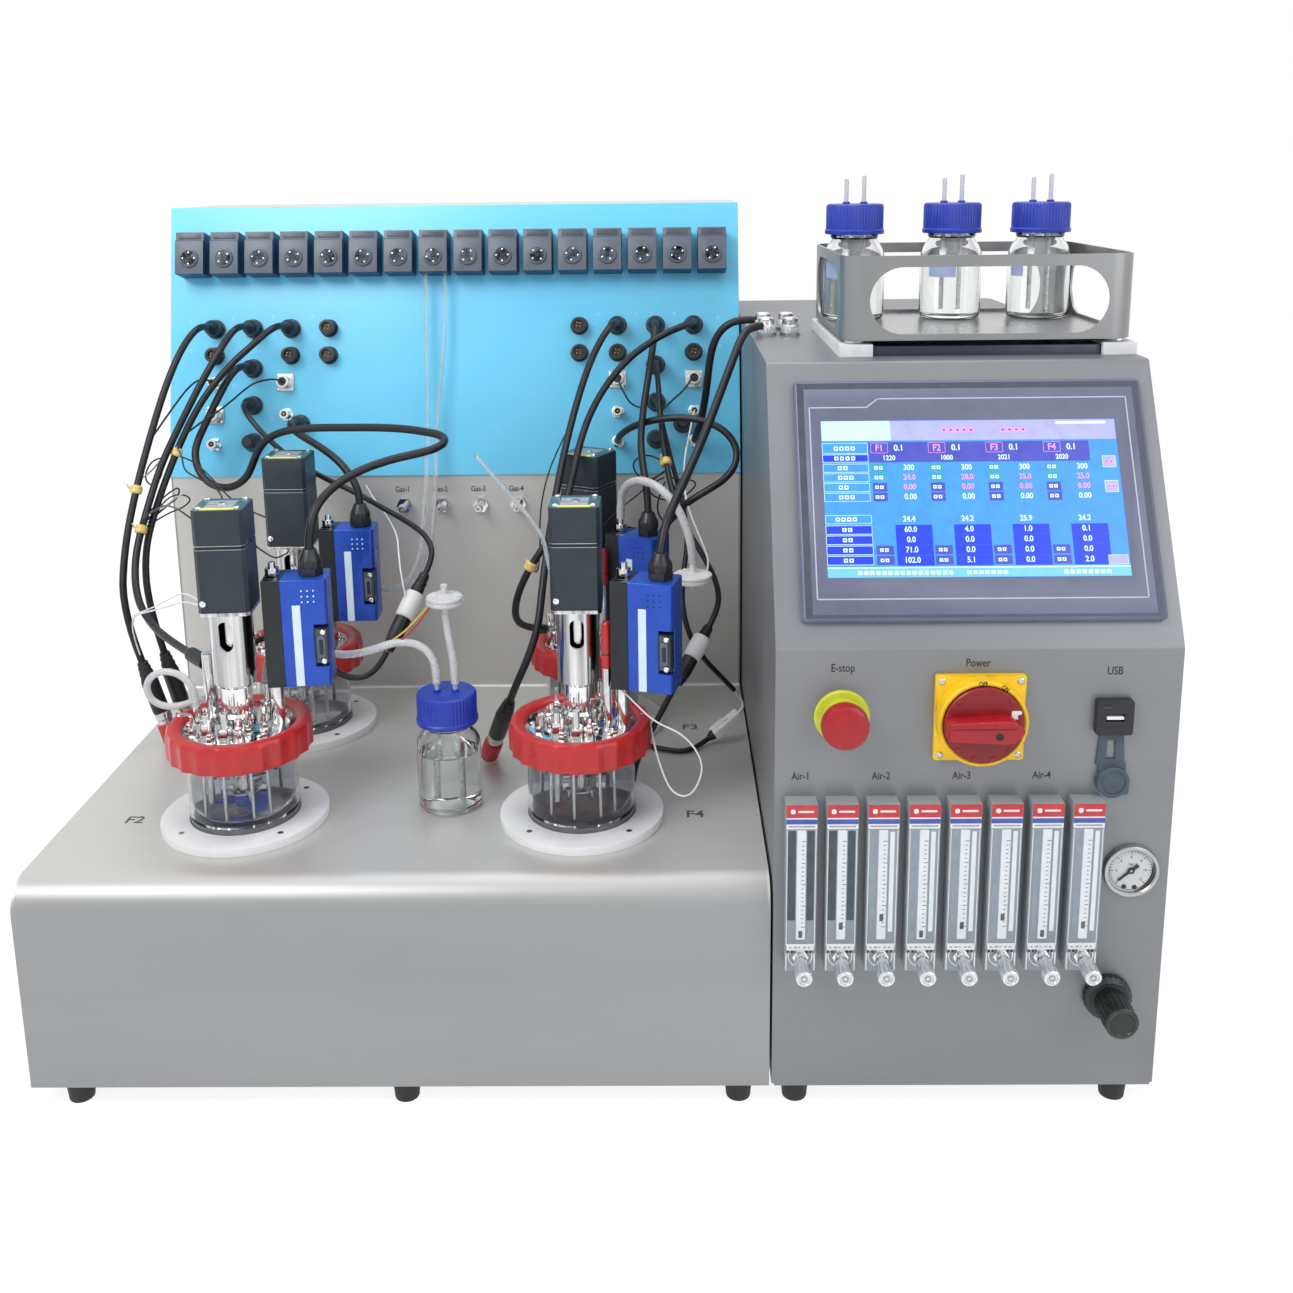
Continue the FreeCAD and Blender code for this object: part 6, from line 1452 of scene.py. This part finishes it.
def meterFace(number):
    rest = 29 + 7 * (number % 3)
    parts = plates(*meterLook["label"], *meterLook["strip"])
    for step in range(21):  # scale, a longer line at every fifth
        low = 38 + 3.6 * step
        parts.append(plateShape(0.2, 2.1 if step % 5 else 3.2, low, 38.45 + 3.6 * step, 0.1, 0.34,
                                "printBlack", 0.1))
    parts += plates(*meterLook["dark" if number < 2 else "pale"])
    parts += plates((-1.5, 1.5, rest, rest + 6, 0.1, 0.5, "darkSteel", 0.8, 0.2), meterLook["footPlate"])
    for step in range(7):
        parts.append(plateShape(-10 + 2.9 * step, -8.4 + 2.9 * step, 16.2, 18.8, -0.2, 0.6, "printBlack",
                                0.2))
    for step, wide in enumerate(meterLook["words"]):
        start = -8.6 + 3.6 * step
        parts.append(plateShape(start, start + wide, 20.4, 21.6, 0.6, 0.8, "labelGrey", 0.2))
    # clear foot: seat nut and ring round the valve, and the inner passages
    parts += [moved(raisedShape(hexagon(6.4), -0.2, 2.6, "chrome", 0.4), placed(0, meterLook["valve"])),
              moved(ringShape(9.2, 0.5, "meterTube"), placed(0, meterLook["valve"], 0.1))]
    return parts + plates(*meterLook["foot"])


def addMeterParts():
    valve = [roundShape(3, -6, 12.4, "satinSteel", 28),
             turnedShape(meterLook["seat"], "chrome", 36, loop=True),
             turnedShape(meterLook["knob"], "knobClear", 96, 16, 0.7),
             moved(ringShape(4.9, 0.4, "chrome"), placed(0, 0, 31.5)),
             turnedShape(meterLook["knobRing"], "labelGrey", 28, loop=True)]
    shapes = []
    for number in range(8):
        face = onFront @ placed(meterLook["first"] + number * meterLook["pitch"], meterLook["low"],
                                meterLook["face"])
        shapes += copies(meterFace(number), [face])
        stand = [face @ placed(0, meterLook["valve"])]
        knob = "valve_knob_%d" % (number + 1)
        addPiece("valve_knob_turned_%d" % (number + 1), copies(valve, stand), body=knob,
                 instead=knob)
    addPiece("meter_parts", shapes)


# touch screen: each cell is (left, right, top, bottom) in shares of the display
display = {
    "left": 40.7, "right": 269.8, "low": 53.7, "high": 178.8, "glass": 7.5, "column": 0.165, "pitch": 0.195,
    "values": [("1220", "300", "24.0", "0.00", "0.00", "24.4", "60.0", "0.0", "71.0", "102.0"),
               ("1000", "300", "28.0", "0.00", "0.00", "24.2", "4.0", "0.0", "0.0", "5.1"),
               ("2021", "300", "25.0", "0.00", "0.00", "25.9", "1.0", "0.0", "0.0", "0.0"),
               ("2020", "300", "25.0", "0.00", "0.00", "24.2", "0.1", "0.0", "0.0", "2.0")],
    "foot": [(0, 1, 0.936, 0.944, "screenLine", 1), (0, 1, 0.944, 1, "screenCyan", 1),
             (0.93, 0.995, 0.87, 0.93, "screenLilac", 2, "screenLine")],
    "footWords": [(0.1, 16), (0.46, 7), (0.78, 8)],
    # the bezel's darker outer edges as left, right, low, high; its pale inner line, lower at its upper left
    "edges": [(22.6, 28, 22.6, 210.4), (286.4, 291.4, 22.6, 210.4), (28.2, 286.2, 22.6, 25),
              (28.2, 286.2, 205.6, 210.4)],
    "line": [(32, 37), (280.5, 37), (280.5, 197), (86, 197), (77, 190), (32, 190)],
}


def screenPoint(x, y):
    return (display["left"] + x * (display["right"] - display["left"]),
            display["high"] - y * (display["high"] - display["low"]))


def screenCell(left, right, top, bottom, finish, level=0, rim=None):
    x0, y0 = screenPoint(left, bottom)
    x1, y1 = screenPoint(right, top)
    under = display["glass"] - 0.1
    height = display["glass"] + 0.05 * level + 0.05
    shapes = []
    if rim:
        inset = 0.35
        shapes.append(plateShape(x0, x1, y0, y1, under, height, rim, 0.1))
        x0, x1, y0, y1, height = x0 + inset, x1 - inset, y0 + inset, y1 - inset, height + 0.05
    return shapes + [plateShape(x0, x1, y0, y1, under, height, finish, 0.1)]


def screenWord(text, x, y, finish="screenLine", size=5.4):
    at = placed(*screenPoint(x, y), display["glass"] + 0.16)
    return letterShapes(text, size * 1.15, at @ Matrix.Diagonal((0.9, 1, 1, 1)), finish, 0.05, 0.022)


# a row of small blocks where a short word stands
def wordBars(x, y, marks, finish="screenLine", size=0.014):
    shapes = []
    for step in range(marks):
        left = x + step * size * 1.35
        shapes += screenCell(left, left + size, y - size * 0.9, y + size * 0.9, finish, 3)
        shapes += screenCell(left + size * 0.3, left + size * 0.7, y - size * 0.35, y + size * 0.3,
                             "screenDeep", 4)
    return shapes


def displayColumn(number, values, upper, lower):
    left = display["column"] + display["pitch"] * number
    shapes = screenCell(left, left + 0.058, 0.145, 0.212, "screenDark", 1, "screenPink")
    shapes += [screenWord("F%d" % (number + 1), left + 0.029, 0.18, "screenPink", 6.4),
               screenWord("0.1", left + 0.095, 0.18, size=6),
               screenWord(values[0], left + 0.06, 0.245, size=4.8)]
    for row, top in enumerate(upper):
        shapes += screenCell(left, left + 0.048, top, top + 0.056, "screenGreen" if row < 2
                             else "screenDark", 1)
        shapes += wordBars(left + 0.008, top + 0.028, 2, size=0.012)
        shapes.append(screenWord(values[row + 1], left + 0.125, top + 0.028,
                                 "screenLine" if row in (0, 3) else "screenPink"))
    shapes.append(screenWord(values[5], left + 0.115, 0.637))
    for row, top in enumerate(lower):
        shapes += screenCell(left + 0.068, left + 0.19, top - 0.002, top + 0.061, "screenDeep", 1)
        shapes.append(screenWord(values[row + 6], left + 0.118, top + 0.028))
        if row > 1:
            shapes += screenCell(left, left + 0.058, top, top + 0.056, "screenDark", 1)
            shapes += wordBars(left + 0.012, top + 0.028, 2, size=0.012)
    return shapes


def addDisplay():
    upper = [0.28 + 0.0625 * row for row in range(4)]
    lower = [0.675 + 0.064 * row for row in range(4)]
    shapes = screenCell(0, 1, 0, 0.13, "screenLilac") + screenCell(0, 0.235, 0, 0.13, "screenPale", 1)
    shapes += screenCell(0.157, 0.905, 0.14, 0.272, "screenDark")
    shapes += wordBars(0.41, 0.065, 5, "screenPink", 0.017) + wordBars(0.61, 0.065, 4, "screenPink", 0.017)
    shapes += screenCell(0.8, 0.97, 0.012, 0.03, "screenLine", 1)
    # the names of the rows: top, bottom, middle, finish, where the word starts, its marks
    heads = [(0.145, 0.215, 0.18, "screenBlue", 0.04, 4), (0.22, 0.27, 0.245, "screenDeep", 0.04, 4)]
    heads += [(top, top + 0.056, top + 0.028, "screenBlue", 0.05, 2 + row % 2)
              for row, top in enumerate(upper)]
    heads += [(0.61, 0.665, 0.637, "screenBlue", 0.035, 4)]
    heads += [(top, top + 0.056, top + 0.028, "screenDeep", 0.055, 2) for top in lower]
    for top, bottom, middle, finish, left, marks in heads:
        shapes += screenCell(0, 0.155, top, bottom, finish, 1, "screenLine") + wordBars(left, middle, marks)
    for column, values in enumerate(display["values"]):
        shapes += displayColumn(column, values, upper, lower)
    for top in (0.24, 0.4):
        shapes += screenCell(0.945, 0.99, top, top + 0.075, "screenLilac", 1, "screenLine")
        shapes += wordBars(0.952, top + 0.038, 2, "screenPink", 0.012)
    for cell in display["foot"]:
        shapes += screenCell(*cell)
    for start, marks in display["footWords"]:
        for step in range(marks):
            shapes += screenCell(start + 0.02 * step, start + 0.02 * step + 0.014, 0.96, 0.984,
                                 "screenLine", 2)
    addPiece("screen_cells", copies(shapes, [onScreen]))


def addBezel():
    edges = [plateShape(*edge, 7.8, 8.1, "bezelDark") for edge in display["edges"]]
    addPiece("bezel_edges", copies(edges, [onScreen]))
    line = display["line"]
    shapes = []
    for start, end in zip(line, line[1:] + line[:1]):
        run = Vector(end) - Vector(start)
        bar = plateShape(-0.5, run.length + 0.5, -0.5, 0.5, 7.9, 8.12, "bezelLine", 0.2)
        shapes.append(moved(bar, onScreen @ placed(*start, turn=math.atan2(run.y, run.x))))
    addPiece("bezel_line", shapes)


# generic marks: on the deck as (text, right, back), on the panel as (number, right, up the slope)
letters = {
    "deck": [("F1", 57, 312), ("F2", 57.6, 112.6), ("F3", 543.5, 303.6), ("F4", 543.8, 117.9)],
    "panel": [(1, 22, 163), (2, 66, 168), (3, 108, 168), (4, 150, 168), (5, 22, 133), (6, 452, 168),
              (7, 492, 168), (8, 532, 168), (9, 578, 163), (10, 578, 133), (11, 68, 96), (12, 106, 60)],
}


def addLetters():
    words = [letterShapes(text, size, narrowed(onFront @ placed(x, z)), "printBlack", bold=0.014)
             for text, x, z, size in controls["labels"]]
    for number in range(4):
        at = narrowed(placed(244 + 40 * number, 416, 419, math.pi / 2))
        words.append(letterShapes("Gas-%d" % (number + 1), 8.4, at, "printBlack", bold=0.014))
    words += [letterShapes(text, 17, placed(x, y, 198), "printGrey", bold=0.016)
              for text, x, y in letters["deck"]]
    addPiece("printed_words", words)
    pale = [letterShapes(str(number), 6, onPanel @ placed(x, v, 2.5), "printWhite")
            for number, x, v in letters["panel"]]
    addPiece("panel_numbers", pale)


addStop()
addSwitch()
addGauge()
addRegulator()
addUsbParts()
addMeterParts()
addDisplay()
addBezel()
addLetters()
print("controls, meters, display and lettering finished")

# plugs and joints on the cords: sleeves turned about the cord's last run, each as (finish, profile, ribs)
plugLooks = {
    "probePlug": [
        ("cordBlack", [(0, 0), (4.6, 0), (5.4, 2), (5, 3), (6.2, 7), (5.7, 8), (7, 13), (6.5, 14), (8, 20),
                       (8.2, 24), (8, 26), (8, 52), (7.4, 53.5), (0, 53.5)], 0),
        ("satinSteel", [(0, 53), (7.2, 53), (7.8, 54), (7.8, 60), (7, 61), (7, 66), (0, 66)], 0),
        ("ringRed", [(0, 65), (8.3, 65), (9, 66, 1), (9, 86, 1), (8.2, 88), (5, 88), (4.8, 84), (0, 84)],
         18)],
    "shortPlug": [
        ("cordBlack", [(0, 0), (4, 0), (5, 3), (6.3, 6), (6.5, 8, 1), (6.5, 26, 1), (6, 34), (0, 34)], 14)],
    "smallPlug": [
        ("cordBlack", [(0, 0), (4, 0), (5, 3), (5, 18), (0, 18)], 0),
        ("satinSteel", [(0, 17.5), (4.6, 17.5), (4.8, 18.5), (4.8, 24), (0, 24)], 0)],
    "whiteJoint": [
        ("cordBlack", [(0, 0), (4.5, 0), (5.2, 4), (4.8, 5), (5.8, 10), (5.4, 11), (6.5, 20), (7.4, 21.5),
                       (0, 21.5)], 0),
        ("whitePlastic", [(0, 20.5), (8, 20.5), (9, 22), (9, 36), (8.6, 45), (7.4, 46.5), (0, 46.5)], 0),
        ("cordBlack", [(0, 46), (7, 46), (7.5, 47.5, 1), (7.5, 62, 1), (6.6, 70), (5.2, 80), (0, 80)], 10)],
    "whiteJointShort": [
        ("cordBlack", [(0, 0), (4, 0), (5, 4), (4.6, 5), (6, 12), (6.8, 13), (0, 13)], 0),
        ("whitePlastic", [(0, 12), (7.6, 12), (8.5, 13.5), (8.5, 26), (8, 34), (7, 35), (0, 35)], 0),
        ("cordBlack", [(0, 34), (6.6, 34), (7, 35.5, 1), (7, 50, 1), (5, 62), (0, 62)], 10)],
}

plugsOn = {"left_outer": "probePlug", "left_inner": "probePlug", "right_probe": "probePlug",
           "left_middle": "shortPlug",
           "right_arc": "smallPlug", "lead_left": "whiteJoint", "lead_right": "whiteJointShort"}


def alongRun(points):  # stands a turned shape on the route's last point, in line with its last run
    last = Vector(points[-1])
    run = last - Vector(points[-2])
    return Matrix.Translation(last) @ run.to_track_quat("Z", "Y").to_matrix().to_4x4()


def addPlug(name, look, points, extra=()):
    shapes = [moved(turnedShape(profile, finish, ribs * 6 or 36, ribs, 0.5, 1.5), alongRun(points))
              for finish, profile, ribs in plugLooks[look]]
    return addPiece(name, shapes + list(extra), instead="cable_connectors")


# the low joint is a flat white block of contacts between its two tails
lowJoint = {
    "behind": (553.3, 259.2, 198.8),
    "blocks": [((14, 9, 1.2), (6, 22, "plainWhite", 0.8, 0.8)),
               ((11.5, 7.5, 1), (21, 38, "plainWhite", 0.8, 0.8)),
               ((5, 2, 0.6, 0, 5), (12, 26, "whitePlastic", 0.4, 0.4))],
    "boot": [(0, 0), (3.2, 0), (4.6, 4), (4.8, 7), (0, 7)],
}


def addPlugs():
    made = {}
    for name, look in plugsOn.items():
        points = {**probeCables, **signalLeads}[name]["points"]
        extra = []
        if name == "left_middle":  # two pale dots on the plug
            dot = turnedShape([(0, 0), (1.6, 0), (1.6, 0.5), (0, 0.7)], "plainWhite", 12)
            extra = [moved(dot, alongRun(points) @ placed(0, -6.3, height, math.pi / 2))
                     for height in (12, 20)]
        made[name] = addPlug(name + "_plug", look, points, extra)
    block = [raisedShape(roundRectangle(*outline), *rest) for outline, rest in lowJoint["blocks"]]
    block.append(turnedShape(lowJoint["boot"], "cordBlack", 24))
    stand = alongRun([lowJoint["behind"], signalLeads["lead_low_end"]["points"][0]])
    made["lead_low_wires"] = addPiece("low_joint", copies(block, [stand]),
                                      instead="cable_connectors")
    return made


redPlugs = {"front": {"place": (470.5, 98, 341), "length": 40},
            "back": {"place": (459.7, 278.4, 357), "length": 35}}


def addRedPlugs():
    for name, plug in redPlugs.items():
        end = plug["length"]
        line = end * 0.3
        shapes = [turnedShape([(0, 0), (4, 0), (4.5, 1), (4.5, end - 8), (3.8, end - 2), (2.6, end),
                               (0, end)], "ringRed",
                              30, soft=0.5),
                  turnedShape([(0, line), (4.62, line), (4.62, line + 1.2), (0, line + 1.2)], "socketBlack",
                              30)]
        addPiece("red_plug_" + name, copies(shapes, [placed(*plug["place"])]),
                 instead="cable_connectors")


ventFilters = {"vent_tube": {"place": (330, 143, 374), "radius": 16, "finish": "siliconeMilk"},
               "exhaust_tube": {"place": (545, 228, 366), "radius": 18, "finish": "whitePlastic"}}


def addFilters():
    made = {}
    for name, vent in ventFilters.items():
        rim = vent["radius"]
        profile = [(0, 0), (3, 0), (3, 5.5), (4.5, 6.6), (rim - 3, 8.2), (rim - 0.6, 8.4), (rim, 9.2),
                   (rim, 11.2), (rim - 0.8, 12), (rim, 12.8), (rim, 15), (rim - 0.8, 15.8), (rim - 3, 16.2),
                   (4.5, 17.4), (3, 18.4), (3, 26), (0, 26)]
        rib = roundRectangle(rim - 8, 0.9, 0.3, rim / 2 + 1.5, 0)
        spoke = raisedShape(rib, 15.8, 17, "whitePlastic", 0.2)  # on the upper face
        shapes = [turnedShape(profile, vent["finish"], 48, soft=0.4)]
        shapes += copies([spoke], [placed(turn=step * math.pi / 6) for step in range(12)])
        made[name] = addPiece("vent_filter_" + name.split("_")[0], copies(shapes, [placed(*vent["place"])]),
                              instead="vent_filters")
    return made


plugs = addPlugs()
addRedPlugs()
plugs.update(addFilters())
onCords = [plugs, addTies()]
print("plugs, joints, filters and ties made:", len(plugs) + len(redPlugs) + len(cordTies))
addCords(powerCords, 7.5, "cordBlack", "power_cords")
addCords(probeCables, 7, "cordBlack", "probe_cables")
addCords(signalLeads, 5.5, "cordBlack", "signal_leads")
addCords(siliconeTubes, 7, "siliconeMilk", "silicone_tubes")
addCords(thinWires, 1.6, "cordBlack", None)
addCords(wireLoops, 1.6, "cordBlack", None)
laid = (powerCords, probeCables, signalLeads, siliconeTubes, thinWires, wireLoops)
print("cords laid:", sum(len(cords) for cords in laid))
